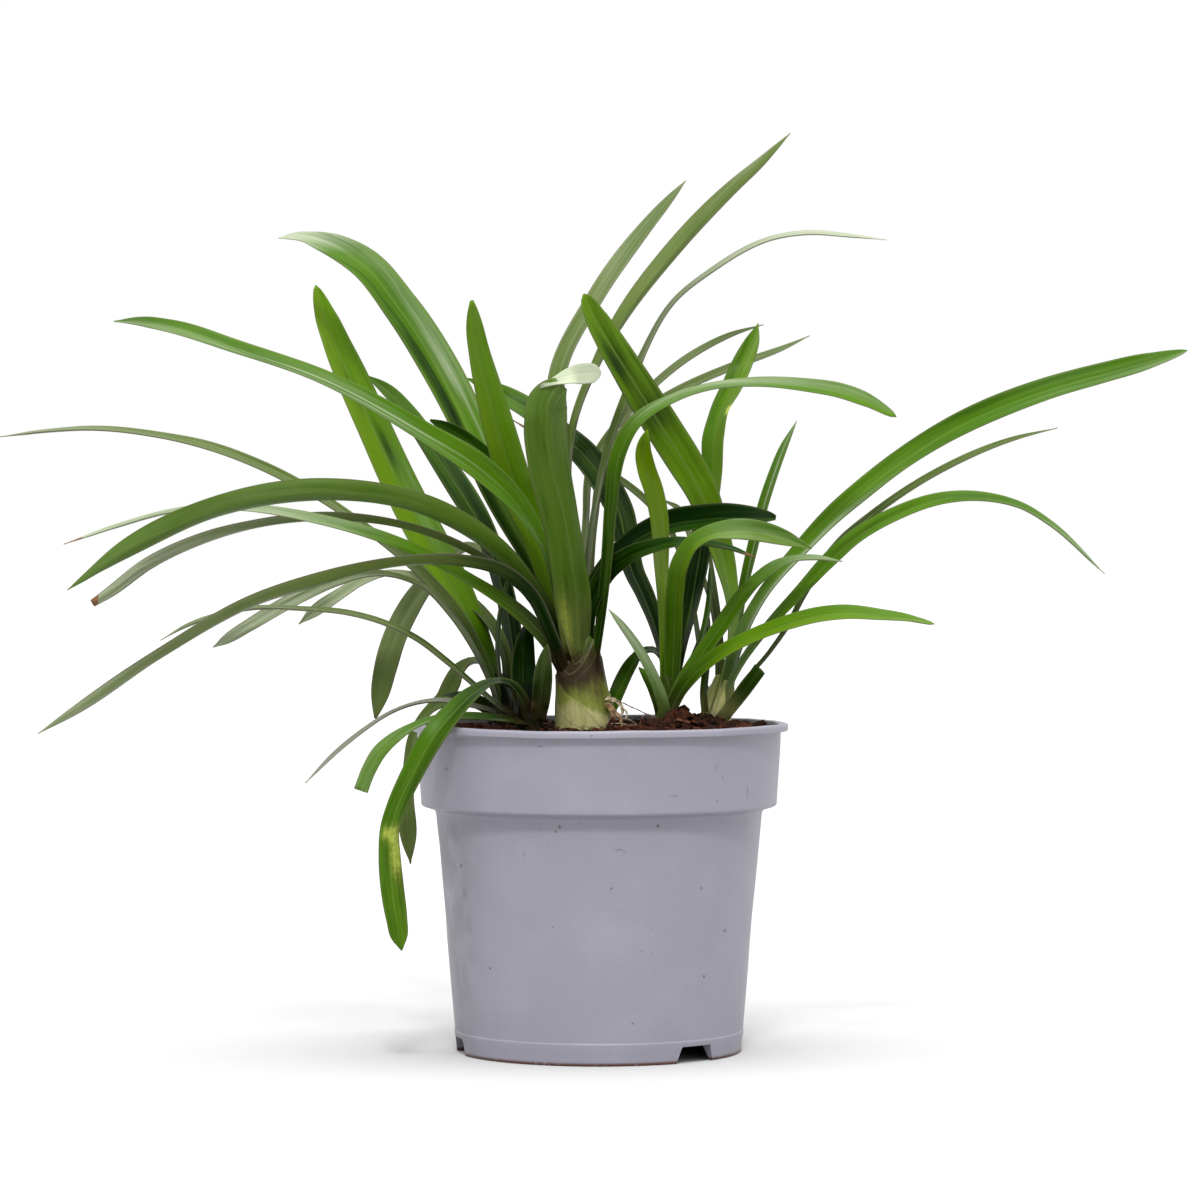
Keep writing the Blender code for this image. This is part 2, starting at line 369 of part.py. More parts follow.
def new_object(name, verts, faces, material=None):
    mesh = bpy.data.meshes.new(name)
    mesh.from_pydata([tuple(v) for v in verts], [], [tuple(f) for f in faces])
    item = bpy.data.objects.new(name, mesh)
    bpy.context.scene.collection.objects.link(item)
    if material is not None:
        mesh.materials.append(material)
    return item


def boolean_with(target, tools, operation, solver="EXACT"):
    """Join or cut the target with a collection of tools, keep the result and remove the tools.

    The shoots use MANIFOLD, because EXACT leaves slivers where leaves part from the neck at a low angle.
    """
    group = bpy.data.collections.new(target.name + "_tools")
    bpy.context.scene.collection.children.link(group)
    for tool in tools:
        bpy.context.scene.collection.objects.unlink(tool)
        group.objects.link(tool)
    change = target.modifiers.new(operation.lower(), "BOOLEAN")
    change.operation = operation
    change.operand_type = "COLLECTION"
    change.collection = group
    change.solver = solver
    view = bpy.context.evaluated_depsgraph_get()
    result = bpy.data.meshes.new_from_object(target.evaluated_get(view))
    target.modifiers.remove(change)
    target.data = result
    for tool in tools:
        bpy.data.objects.remove(tool, do_unlink=True)
    bpy.data.collections.remove(group)


def soften(item, degrees):
    item.data.shade_smooth()
    item.data.set_sharp_from_angle(angle=math.radians(degrees))


def turned(name, outline, sides, material=None):
    """Turn an outline of (radius, height) points, which starts and ends on the axis, into a solid."""
    angles = np.linspace(0, 2 * math.pi, sides, endpoint=False)
    verts = [(0, 0, outline[0][1])]
    for radius, height in outline[1:-1]:
        verts += [(radius * math.cos(a), radius * math.sin(a), height) for a in angles]
    verts.append((0, 0, outline[-1][1]))
    rows = len(outline) - 2
    faces = []
    for k in range(sides):
        after = (k + 1) % sides
        faces.append((0, 1 + k, 1 + after))
        for row in range(rows - 1):
            a = 1 + row * sides
            b = a + sides
            faces.append((a + k, b + k, b + after, a + after))
        last = 1 + (rows - 1) * sides
        faces.append((last + after, last + k, len(verts) - 1))
    return new_object(name, verts, faces, material)


def prism(name, outline, low, high):
    """A straight block: a flat outline of (x, y) points, counterclockwise, between two heights."""
    count = len(outline)
    verts = [(x, y, low) for x, y in outline] + [(x, y, high) for x, y in outline]
    faces = [tuple(reversed(range(count))), tuple(range(count, 2 * count))]
    faces += [(k, (k + 1) % count, count + (k + 1) % count, count + k) for k in range(count)]
    return new_object(name, verts, faces)


def notch_cutter(turn):
    """A drainage notch: wide at the foot, narrower at the top, cut through the wall from outside."""
    verts = []
    for radius in (FOOT_RADIUS - CUT_INWARDS, FOOT_RADIUS + CUT_OUTWARDS):
        for half, height in ((NOTCH_FOOT_WIDTH / 2, -CUT_BELOW), (NOTCH_TOP_WIDTH / 2, NOTCH_HEIGHT)):
            for side in (-half, half):
                verts.append((radius, side, height))
    faces = [(0, 2, 3, 1), (4, 5, 7, 6), (0, 1, 5, 4), (2, 6, 7, 3), (0, 4, 6, 2), (1, 3, 7, 5)]
    cutter = new_object("notch", verts, faces)
    cutter.rotation_euler.z = math.radians(turn)
    return cutter


def drain_cutter(turn):
    """A round drain hole through the channel's floor."""
    middle = (CHANNEL_OUTER + CHANNEL_INNER) / 2
    ring = [2 * math.pi * k / DRAIN_SIDES for k in range(DRAIN_SIDES)]
    x = middle * math.cos(turn)
    y = middle * math.sin(turn)
    outline = [(x + DRAIN_HOLE_RADIUS * math.cos(a), y + DRAIN_HOLE_RADIUS * math.sin(a)) for a in ring]
    return prism("drain", outline, CHANNEL_HEIGHT - DRAIN_CUT, CHANNEL_HEIGHT + WALL + DRAIN_CUT)


def inner_radius(height):
    """The pot's inside at a height: along the body, then along the wider collar."""
    if height <= BODY_TOP:
        share = height / BODY_TOP
        return FOOT_RADIUS + (BODY_TOP_RADIUS - FOOT_RADIUS) * share - WALL
    share = (height - COLLAR_FOOT) / (POT_HEIGHT - COLLAR_FOOT)
    return COLLAR_FOOT_RADIUS + (COLLAR_TOP_RADIUS - COLLAR_FOOT_RADIUS) * share - WALL


def make_pot(plastic):
    """The pot: a turned wall, then three notches cut at the foot and eight drain holes in the floor."""
    ledge_radius = inner_radius(LEDGE_HEIGHT) + WALL
    lip_foot = POT_HEIGHT - LIP_HEIGHT
    floor = CHANNEL_HEIGHT + WALL
    outline = [
        (0, 0), (PAD_RADIUS, 0), (CHANNEL_INNER, CHANNEL_HEIGHT), (CHANNEL_OUTER, CHANNEL_HEIGHT),
        (FOOT_RADIUS - FOOT_RING, 0), (FOOT_RADIUS, 0), (ledge_radius + LEDGE_STEP, LEDGE_HEIGHT),
        (ledge_radius, LEDGE_HEIGHT + LEDGE_STEP), (BODY_TOP_RADIUS, BODY_TOP),
        (COLLAR_FOOT_RADIUS - COLLAR_CHAMFER, COLLAR_FOOT - COLLAR_SLOPE), (COLLAR_FOOT_RADIUS, COLLAR_FOOT),
        (COLLAR_TOP_RADIUS, lip_foot - LIP_CHAMFER), (LIP_RADIUS - LIP_FOOT_INSET, lip_foot),
        (LIP_RADIUS, POT_HEIGHT - LIP_CHAMFER), (LIP_RADIUS - LIP_TOP_INSET, POT_HEIGHT),
        (COLLAR_TOP_RADIUS - WALL, POT_HEIGHT), (COLLAR_FOOT_RADIUS - WALL, COLLAR_FOOT + COLLAR_CHAMFER),
        (inner_radius(BODY_TOP), BODY_TOP + SHOULDER_RISE), (inner_radius(floor), floor),
        (CHANNEL_INNER - PAD_INSET, floor), (PAD_RADIUS - PAD_INSET, WALL), (0, WALL)]
    pot = turned("pot", outline, POT_SIDES, plastic)
    boolean_with(pot, [notch_cutter(turn) for turn in NOTCH_TURNS], "DIFFERENCE")
    drains = [drain_cutter(2 * math.pi * (k + 0.5) / DRAIN_HOLES) for k in range(DRAIN_HOLES)]
    boolean_with(pot, drains, "DIFFERENCE")
    soften(pot, POT_EDGE)


def shoot_holes():
    """Plain upright holes, a little wider than the necks that stand in them."""
    holes = []
    for name, rings in NECKS.items():
        low = [ring for ring in rings if ring[2] < NECK_IN_HOLE]
        left = min(ring[0] - ring[3] for ring in low) * MM - GAP
        right = max(ring[0] + ring[3] for ring in low) * MM + GAP
        front = min(ring[1] - ring[4] for ring in low) * MM - GAP
        back = max(ring[1] + ring[4] for ring in low) * MM + GAP
        turns = [2 * math.pi * k / HOLE_SIDES for k in range(HOLE_SIDES)]
        grown = 1 / math.cos(math.pi / HOLE_SIDES)
        outline = [((left + right) / 2 + (right - left) / 2 * grown * math.cos(a),
                    (front + back) / 2 + (back - front) / 2 * grown * math.sin(a)) for a in turns]
        holes.append(prism(name + "_hole", outline, HOLE_FLOOR, POT_HEIGHT + HOLE_ABOVE_POT))
    return holes


def make_soil(earth):
    """Potting soil that fills the pot to just under the mulch, clear of the wall all round."""
    floor = CHANNEL_HEIGHT + WALL + GAP
    collar = COLLAR_FOOT + SOIL_SHOULDER
    outline = [
        (0, floor), (inner_radius(floor) - WALL_GAP, floor), (inner_radius(BODY_TOP) - WALL_GAP, BODY_TOP),
        (inner_radius(BODY_TOP) - WALL_GAP, BODY_TOP + SOIL_SHOULDER),
        (inner_radius(collar) - WALL_GAP, collar),
        (inner_radius(SOIL_TOP) - WALL_GAP, SOIL_TOP), (0, SOIL_TOP)]
    soil = turned("soil", outline, POT_SIDES, earth)
    boolean_with(soil, shoot_holes(), "DIFFERENCE")
    soften(soil, POT_EDGE)


def chip(index, across, back, up, length, width, thickness, turn, tilt, roll):
    """A bark chip: a flat block whose ends narrow to a blunt edge."""
    piece = prism(f"chip_{index}", [(x * length * MM, y * width * MM) for x, y in CHIP_OUTLINE],
                  -thickness / 2 * MM, thickness / 2 * MM)
    piece.location = (across * MM, back * MM, up * MM)
    piece.rotation_euler = (math.radians(roll), math.radians(tilt), math.radians(turn))
    return piece


def make_mulch(bark):
    """A layer of fine bark on the soil, uneven on top, with larger chips lying in it."""
    rings = MULCH_RINGS
    sides = POT_SIDES // 2
    foot = SOIL_TOP + GAP
    edge = inner_radius(foot) - WALL_GAP
    verts = [(0, 0, foot), (0, 0, MULCH_TOP)]
    faces = []
    for ring in range(1, rings + 1):
        for k in range(sides):
            angle = 2 * math.pi * k / sides
            radius = edge * ring / rings
            swell = sum(math.sin(waves * angle + turn * ring) for waves, turn in MULCH_WAVES)
            x = radius * math.cos(angle)
            y = radius * math.sin(angle)
            far = math.hypot(x - MOUND_AT[0], y - MOUND_AT[1]) / MOUND_REACH
            height = MULCH_TOP + MULCH_SWELL * swell * (1 if ring < rings else MULCH_EDGE_SWELL)
            height += MOUND_RISE * math.exp(-far * far)
            verts.append((x, y, height))
    rim = 2 + (rings - 1) * sides
    base = len(verts)
    verts += [(x, y, foot) for x, y, _ in verts[rim:rim + sides]]
    for k in range(sides):
        after = (k + 1) % sides
        faces.append((1, 2 + k, 2 + after))
        for ring in range(rings - 1):
            a = 2 + ring * sides
            b = a + sides
            faces.append((a + k, b + k, b + after))
            faces.append((a + k, b + after, a + after))
        faces.append((rim + k, base + k, base + after, rim + after))
        faces.append((0, base + after, base + k))
    mulch = new_object("bark_mulch", verts, faces, bark)
    boolean_with(mulch, [chip(k, *values) for k, values in enumerate(CHIPS)], "UNION")
    boolean_with(mulch, shoot_holes(), "DIFFERENCE")


def smooth_run(points, stations):
    """A smooth curve through the points, read at even steps along its length."""
    steps = np.linalg.norm(np.diff(points[:, :3], axis=0), axis=1)
    run = np.concatenate([[0], np.cumsum(steps)])
    slope = np.gradient(points, run, axis=0)
    at = np.linspace(0, run[-1], stations)
    i = np.clip(np.searchsorted(run, at, side="right") - 1, 0, len(run) - 2)
    gap = (run[i + 1] - run[i])[:, None]
    s = (at - run[i])[:, None] / gap
    start = (2 * s ** 3 - 3 * s ** 2 + 1) * points[i] + (s ** 3 - 2 * s ** 2 + s) * gap * slope[i]
    end = (3 * s ** 2 - 2 * s ** 3) * points[i + 1] + (s ** 3 - s ** 2) * gap * slope[i + 1]
    return start + end, at / run[-1]


def unit(vectors):
    return vectors / np.linalg.norm(vectors, axis=1, keepdims=True)


def width_share(part, tip):
    """Share of a leaf's full width along it: narrower at the root, drawn in to the tip."""
    root = np.minimum(1, ROOT_WIDTH + ROOT_GROWTH * part)
    if tip == "cut":
        return root
    start, power = ROUND_TIP if tip == "round" else POINTED_TIP
    end = np.clip((part - start) / (1 - start), 0, 1)
    return root * (1 - end ** TIP_CURVE) ** power


def leaf(name, wide, lean, fold, tip, points):
    """A leaf: a shallow channel of six points carried along its midrib and turned towards the front."""
    points = np.array(points, float)
    length = np.linalg.norm(np.diff(points[:, :3], axis=0), axis=1).sum()
    stations = int(np.clip(round(length / STATION_STEP), FEWEST_STATIONS, MOST_STATIONS))
    curve, part = smooth_run(points, stations)
    scale = 1 + curve[:, 2] / EYE_FRONT
    spine = np.stack([curve[:, 0] * scale, curve[:, 2], EYE_UP + (curve[:, 1] - EYE_UP) * scale], axis=1)
    seen = curve[:, 3]
    width = np.maximum(np.maximum(np.abs(seen), wide * width_share(part, tip)), LEAST_WIDTH)
    along = unit(np.gradient(spine, axis=0))
    sight = unit(spine - np.array([0, -EYE_FRONT, EYE_UP]))
    deep = unit(sight - (sight * along).sum(axis=1, keepdims=True) * along)
    over = lean * np.cross(along, deep)
    turn = np.arcsin(np.clip(seen / width, -1, 1))[:, None]
    turn[-1] = turn[-2]
    up = np.cos(turn) * over - np.sin(turn) * deep
    side = np.cross(along, up)
    half = (width / 2)[:, None]
    rise = np.minimum(half * math.tan(math.radians(fold)), LARGEST_RISE * np.abs(seen)[:, None])
    middle = spine - rise * np.cos(turn) * over
    left = middle - half * side + rise * up
    right = middle + half * side + rise * up
    edge = EDGE_THICKNESS / 2 * up
    rib = MIDRIB_THICKNESS / 2 * up
    rings = [left + edge, middle + rib, right + edge, right - edge, middle - rib, left - edge]
    rings = np.stack(rings, axis=1)
    faces = []
    for station in range(stations - 1):
        a = 6 * station
        b = a + 6
        faces += [(a, a + 1, b + 1), (a, b + 1, b), (a + 1, a + 2, b + 1), (a + 2, b + 2, b + 1)]
        faces += [(a + 5, b + 4, a + 4), (a + 5, b + 5, b + 4), (a + 4, b + 4, a + 3), (a + 3, b + 4, b + 3)]
        faces += [(a + 2, a + 3, b + 3), (a + 2, b + 3, b + 2), (a + 5, a, b), (a + 5, b, b + 5)]
    last = 6 * (stations - 1)
    faces += [(0, 4, 1), (0, 5, 4), (1, 4, 3), (1, 3, 2)]
    faces += [(last, last + 1, last + 4), (last, last + 4, last + 5)]
    faces += [(last + 1, last + 3, last + 4), (last + 1, last + 2, last + 3)]
    return new_object(name, rings.reshape(-1, 3) * MM, faces)


def neck(name, rings, material):
    """A shoot's sheathed foot: elliptical rings joined from the soil up."""
    sides = NECK_SIDES
    verts = []
    for across, back, up, half_width, half_depth in rings:
        for k in range(sides):
            angle = 2 * math.pi * k / sides
            verts.append(((across + half_width * math.cos(angle)) * MM,
                          (back + half_depth * math.sin(angle)) * MM, up * MM))
    faces = [tuple(reversed(range(sides))), tuple(range(len(verts) - sides, len(verts)))]
    for ring in range(len(rings) - 1):
        a = ring * sides
        for k in range(sides):
            after = (k + 1) % sides
            faces.append((a + k, a + after, a + sides + after, a + sides + k))
    return new_object(name, verts, faces, material)


def root(name, radius, route):
    """A thin dry root: a tube along a curled route."""
    points, _ = smooth_run(np.array(route, float), 2 * len(route))
    along = unit(np.gradient(points, axis=0))
    side = unit(np.cross(along, np.array([0.3, 0.8, -0.5])))
    up = np.cross(side, along)
    count = ROOT_SIDES
    verts = []
    for k in range(len(points)):
        for turn in range(count):
            angle = 2 * math.pi * turn / count
            verts.append((points[k] + radius * (math.cos(angle) * side[k] + math.sin(angle) * up[k])) * MM)
    faces = [tuple(range(count)), tuple(reversed(range(len(verts) - count, len(verts))))]
    for ring in range(len(points) - 1):
        a = ring * count
        for k in range(count):
            after = (k + 1) % count
            faces.append((a + k, a + count + k, a + count + after, a + after))
    return new_object(name, verts, faces)


def make_shoot(name, green):
    """One shoot: its neck joined with every leaf that grows from it."""
    pieces = [leaf(key, *values[1:]) for key, values in LEAVES.items() if values[0] == name]
    if name == "shoot_center":
        pieces += [root(f"dry_root_{k}", radius, route) for k, (radius, route) in enumerate(DRY_ROOTS)]
        pieces.append(root("sheath_scrap", *SHEATH_SCRAP))
    shoot = neck(name, NECKS[name], green)
    boolean_with(shoot, pieces, "UNION", "MANIFOLD")
    soften(shoot, LEAF_EDGE)


def main():
    clear_scene()
    make_pot(principled("pot_plastic", *PLASTIC))
    make_soil(principled("potting_soil", *EARTH))
    make_mulch(principled("bark", *BARK))
    green = principled("leaf_green", *LEAF_GREEN)
    for name in NECKS:
        make_shoot(name, green)


main()
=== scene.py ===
import math

import bpy
import numpy as np
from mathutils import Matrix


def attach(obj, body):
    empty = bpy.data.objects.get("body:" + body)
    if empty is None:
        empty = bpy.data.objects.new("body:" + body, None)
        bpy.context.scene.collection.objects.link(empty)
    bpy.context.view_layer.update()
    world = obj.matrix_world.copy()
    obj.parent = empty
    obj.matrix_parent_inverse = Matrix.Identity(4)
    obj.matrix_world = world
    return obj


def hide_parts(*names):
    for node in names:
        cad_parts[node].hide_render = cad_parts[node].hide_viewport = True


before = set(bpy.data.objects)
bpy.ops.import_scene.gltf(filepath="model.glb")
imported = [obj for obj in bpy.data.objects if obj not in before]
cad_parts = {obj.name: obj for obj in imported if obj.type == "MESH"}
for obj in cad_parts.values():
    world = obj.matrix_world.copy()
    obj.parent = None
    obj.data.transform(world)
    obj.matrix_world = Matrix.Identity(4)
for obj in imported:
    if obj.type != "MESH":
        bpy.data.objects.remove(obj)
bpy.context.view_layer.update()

# Potted agapanthus: pot, mulch, seven shoots with 53 strap leaves, dry roots. Tables are in mm.
mm = 0.001

# The eye that the leaf tables are read from: in front of the pot, at this height
eye = {"front": 2133, "up": 243}


# Helpers: meshes from arrays

def unit(vectors):
    # Each vector over its own length
    return vectors / np.maximum(np.linalg.norm(vectors, axis=-1, keepdims=True), 1e-12)


def smoothStep(low, high, value):
    # 0 up to low and 1 from high on; between them 3 s squared minus 2 s cubed
    share = np.clip((value - low) / (high - low), 0, 1)
    return share * share * (3 - 2 * share)


def smoothRun(points, count):
    # Cubic through the points with slopes from their neighbours, read at even steps along its length
    points = np.array(points, float)
    run = np.concatenate([[0], np.cumsum(np.linalg.norm(np.diff(points[:, :3], axis=0), axis=1))])
    slope = np.gradient(points, run, axis=0)
    at = np.linspace(0, run[-1], count)
    i = np.clip(np.searchsorted(run, at, side="right") - 1, 0, len(run) - 2)
    gap = (run[i + 1] - run[i])[:, None]
    s = (at - run[i])[:, None] / gap
    start = (2 * s ** 3 - 3 * s ** 2 + 1) * points[i] + (s ** 3 - 2 * s ** 2 + s) * gap * slope[i]
    end = (3 * s ** 2 - 2 * s ** 3) * points[i + 1] + (s ** 3 - s ** 2) * gap * slope[i + 1]
    return start + end, at


def pathLength(points):
    # The straight steps between the points, added up
    return np.linalg.norm(np.diff(np.array(points, float)[:, :3], axis=0), axis=1).sum()


def around(count):
    # Angles of one full turn, as a row
    return np.linspace(0, 2 * math.pi, count, endpoint=False)[None, :]


def gridFaces(rows, columns):
    # Quads between neighbouring rows of a grid whose columns close into a ring
    row = np.arange(rows - 1)[:, None] * columns
    column = np.arange(columns)[None, :]
    after = (column + 1) % columns
    corners = (row + column, row + after, row + columns + after, row + columns + column)
    return np.stack(corners, -1).reshape(-1, 4)


def endFaces(rows, columns):
    # Triangles from a centre point to each end ring; the two centres come after the grid's vertices
    ring = np.arange(columns)
    after = (ring + 1) % columns
    centre = np.full(columns, rows * columns)
    top = (rows - 1) * columns
    foot = np.stack([centre, after, ring], -1)
    return np.concatenate([foot, np.stack([centre + 1, top + ring, top + after], -1)])


def newPiece(name, verts, quads, triangles, values, material, smooth=True):
    # Vertices, quads and triangles as arrays go into one mesh, with an attribute for each value
    mesh = bpy.data.meshes.new(name)
    mesh.vertices.add(len(verts))
    mesh.vertices.foreach_set("co", np.ascontiguousarray(verts, np.float32).ravel())
    corners = np.concatenate([np.asarray(quads, int).ravel(), np.asarray(triangles, int).ravel()])
    sizes = np.concatenate([np.full(len(quads), 4), np.full(len(triangles), 3)])
    starts = np.concatenate([[0], np.cumsum(sizes)[:-1]])
    mesh.loops.add(len(corners))
    mesh.loops.foreach_set("vertex_index", corners.astype(np.int32))
    mesh.polygons.add(len(sizes))
    mesh.polygons.foreach_set("loop_start", starts.astype(np.int32))
    mesh.polygons.foreach_set("use_smooth", np.full(len(sizes), smooth))
    for key, value in values.items():
        value = np.asarray(value, np.float32)
        kind, field = ("FLOAT_VECTOR", "vector") if value.ndim == 2 else ("FLOAT", "value")
        mesh.attributes.new(key, kind, "POINT").data.foreach_set(field, value.ravel())
    mesh.update(calc_edges=True)
    mesh.validate()
    mesh.materials.append(material)
    piece = bpy.data.objects.new(name, mesh)
    bpy.context.scene.collection.objects.link(piece)
    return piece


def tubePiece(name, rings, values, material):
    # Rings of points, row after row, joined into a closed skin; a centre point closes each end
    rows, columns, _ = rings.shape

    def withEnds(grid):
        flat = grid.reshape(rows * columns, *grid.shape[2:])
        return np.concatenate([flat, grid[:1].mean(1), grid[-1:].mean(1)])

    full = {key: withEnds(value) for key, value in values.items()}
    quads, triangles = gridFaces(rows, columns), endFaces(rows, columns)
    return newPiece(name, withEnds(rings), quads, triangles, full, material)


def dress(piece, slot, *nodes):
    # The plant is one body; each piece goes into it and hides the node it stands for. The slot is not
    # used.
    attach(piece, "root")
    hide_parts(*nodes)
    return piece


# Helpers: materials

def newMaterial(name, roughness):
    material = bpy.data.materials.new(name)
    material.use_nodes = True
    tree = material.node_tree
    shader = tree.nodes["Principled BSDF"]
    shader.inputs["Roughness"].default_value = roughness
    return material, tree, shader


def put(tree, socket, value):
    if isinstance(value, bpy.types.NodeSocket):
        tree.links.new(value, socket)
    elif isinstance(value, tuple) and len(value) == 3 and socket.type == "RGBA":
        socket.default_value = (*value, 1)
    else:
        socket.default_value = value


def node(tree, kind, *values):
    # A new shader node whose first inputs take these values or sockets
    made = tree.nodes.new("ShaderNode" + kind)
    for socket, value in zip(made.inputs, values):
        put(tree, socket, value)
    return made


def sums(tree, operation, *values):
    made = node(tree, "Math", *values)
    made.operation = operation
    return made.outputs[0]


def plus(tree, first, *others):
    for other in others:
        first = sums(tree, "ADD", first, other)
    return first


def times(tree, first, *others):
    for other in others:
        first = sums(tree, "MULTIPLY", first, other)
    return first


def ranged(tree, value, low, high, to=(0.0, 1.0)):
    # The value's way from low to high, eased at both ends, as a number between the two in to
    made = node(tree, "MapRange", value, low, high, *to)
    made.interpolation_type = "SMOOTHSTEP"
    return made.outputs[0]


def swung(tree, value, reach):
    # A noise as a number between -reach and reach
    return ranged(tree, value, 0.3, 0.7, (-reach, reach))


def mixed(tree, share, colour, tint):
    made = tree.nodes.new("ShaderNodeMix")
    made.data_type = "RGBA"
    for index, value in ((0, share), (6, colour), (7, tint)):
        put(tree, made.inputs[index], value)
    return made.outputs[2]


def washed(tree, colour, tint, value, low, high, strength=1.0):
    # The tint laid over the colour, more of it as the value runs from low to high
    return mixed(tree, ranged(tree, value, low, high, (0.0, strength)), colour, tint)


def attribute(tree, name, output="Vector"):
    made = tree.nodes.new("ShaderNodeAttribute")
    made.attribute_name = name
    return made.outputs[output]


def parts(tree, vector):
    return node(tree, "SeparateXYZ", vector).outputs


def joined(tree, x, y, z):
    return node(tree, "CombineXYZ", x, y, z).outputs[0]


def places(tree):
    return tree.nodes.new("ShaderNodeTexCoord").outputs["Object"]


def noise(tree, vector, scale, detail=3.0, rough=0.5):
    made = tree.nodes.new("ShaderNodeTexNoise")
    for socket, value in zip(("Vector", "Scale", "Detail", "Roughness"), (vector, scale, detail, rough)):
        put(tree, made.inputs[socket], value)
    return made.outputs["Fac"]


def cells(tree, vector, scale):
    made = tree.nodes.new("ShaderNodeTexVoronoi")
    put(tree, made.inputs["Vector"], vector)
    made.inputs["Scale"].default_value = scale
    return made.outputs["Distance"]


def finished(tree, shader, colour, gloss, height, depth, strength=1.0):
    # Colour, gloss and a bumpy skin of the given depth in metres
    put(tree, shader.inputs["Base Color"], colour)
    shader.inputs["Specular IOR Level"].default_value = gloss
    bump = tree.nodes.new("ShaderNodeBump")
    for socket, value in (("Height", height), ("Distance", depth), ("Strength", strength)):
        put(tree, bump.inputs[socket], value)
    put(tree, shader.inputs["Normal"], bump.outputs[0])


# Camera at the photograph's viewing angle, soft studio light and a pale floor

studio = {
    "cameraPlace": (0.00046, -2.133, 0.243), "pitch": -1.005, "lens": 140.4, "sensor": 36,
    "sky": (1.0, 1.0, 1.0), "skyRise": (0.05, 1.0), "skyStrength": (1.0, 1.6),
    # Lamps: turns in degrees, strength, angular size in degrees
    "lamps": {"key": ((42, 0, -1), 1.8, 9), "top": ((4, 0, 0), 2.1, 45)},
    "floorSize": 40, "floorColour": (0.455, 0.455, 0.455)}


def makeStudio():
    scene = bpy.context.scene
    scene.view_settings.view_transform = "Standard"
    lens = bpy.data.cameras.new("camera")
    lens.lens = studio["lens"]
    lens.sensor_width = studio["sensor"]
    camera = bpy.data.objects.new("camera", lens)
    camera.location = studio["cameraPlace"]
    camera.rotation_euler = (math.radians(90 + studio["pitch"]), 0, 0)
    scene.collection.objects.link(camera)
    scene.camera = camera
    world = bpy.data.worlds.new("whiteStudio")
    world.use_nodes = True
    tree = world.node_tree
    background = tree.nodes["Background"]
    put(tree, background.inputs[0], studio["sky"])
    # White at the horizon and brighter overhead, as under a large soft box
    rise = parts(tree, tree.nodes.new("ShaderNodeTexCoord").outputs["Generated"])[2]
    put(tree, background.inputs[1], ranged(tree, rise, *studio["skyRise"], studio["skyStrength"]))
    scene.world = world
    for name, (turns, strength, size) in studio["lamps"].items():
        light = bpy.data.lights.new(name, "SUN")
        light.energy = strength
        light.angle = math.radians(size)
        lamp = bpy.data.objects.new(name, light)
        lamp.rotation_euler = [math.radians(turn) for turn in turns]
        scene.collection.objects.link(lamp)
    half = studio["floorSize"] / 2
    corners = np.array([(-half, -half, 0), (half, -half, 0), (half, half, 0), (-half, half, 0)])
    material, tree, shader = newMaterial("paleFloor", 0.9)
    put(tree, shader.inputs["Base Color"], studio["floorColour"])
    shader.inputs["Specular IOR Level"].default_value = 0.0
    floor = newPiece("floor", corners, [(0, 1, 2, 3)], np.zeros((0, 3)), {}, material, False)


makeStudio()
print("studio ready")


# Pot: a turned wall in thin satin plastic, with a rolled lip, a collar and notches at the foot

pot = {
    "lipRadius": 86.6, "lipHeight": 3.5, "height": 150, "collarTop": 83.4, "collarFootRadius": 81.1,
    "collarFoot": 114, "bodyTopRadius": 74.3, "bodyTop": 109, "footRadius": 64.8, "wall": 1.3,
    "ledge": 9.8, "ledgeStep": 0.4, "footRing": 2.3, "channelHeight": 8, "channelOuter": 60,
    "channelInner": 30, "padRadius": 24, "drains": 8, "drainRadius": 4.2, "notchTurns": (-48, -168, 72),
    "notchFoot": 23, "notchTop": 17, "notchHeight": 7.5, "sides": 384,
    # Dents: turned to -X or +X, height, depth, half width, half height
    "dents": [(-1, 77, 1.2, 5, 9), (-1, 64, 0.8, 6, 6), (-1, 92, 0.5, 7, 8), (1, 60, 0.4, 14, 18)],
    # Waves of the lip: waves in a turn, where they start, height
    "waves": [(3, 0.6, 0.35), (7, 2.0, 0.22), (19, 0.0, 0.1)],
    # Marks on the front: across, up, half width, half height, strength
    "marks": [
        (-17.2, 106.6, 0.9, 1.3, 0.8), (-19.0, 104.8, 0.6, 0.7, 0.7), (-3.2, 147.6, 0.5, 0.8, 0.8),
        (-25.9, 142.6, 1.6, 0.5, 0.6), (8.4, 96.7, 2.6, 0.6, 0.45), (11.4, 95.8, 1.0, 0.5, 0.45),
        (45.7, 78.4, 1.0, 0.9, 0.8), (56.3, 58.2, 0.9, 0.8, 0.7), (46.8, 38.6, 0.6, 0.9, 0.9),
        (26, 107, 0.9, 0.9, 0.8), (66.2, 121, 0.35, 4.2, 0.45), (-33.1, 93.7, 0.4, 1.7, 0.55),
        (-61.8, 87, 0.9, 1.5, 0.6), (33, 120.6, 3.2, 0.9, 0.25), (-20.5, 62, 0.5, 0.5, 0.6),
        (-60.5, 75, 1.5, 4.5, 0.22), (-58, 60, 2.2, 6, 0.2), (-68, 131, 1.4, 1.2, 0.35),
        (52, 133, 1.8, 2.6, 0.15)],
    # Colours
    "body": (0.221, 0.213, 0.258), "worn": (0.264, 0.254, 0.298), "dust": (0.22, 0.20, 0.185),
    # grime is the marks' dirt colour and also the painted shade low on the left
    "grimeAndShade": (0.06, 0.045, 0.035), "soilSmear": (0.16, 0.10, 0.07), "inside": (0.05, 0.045, 0.045),
    "footSoil": (0.075, 0.030, 0.018)}


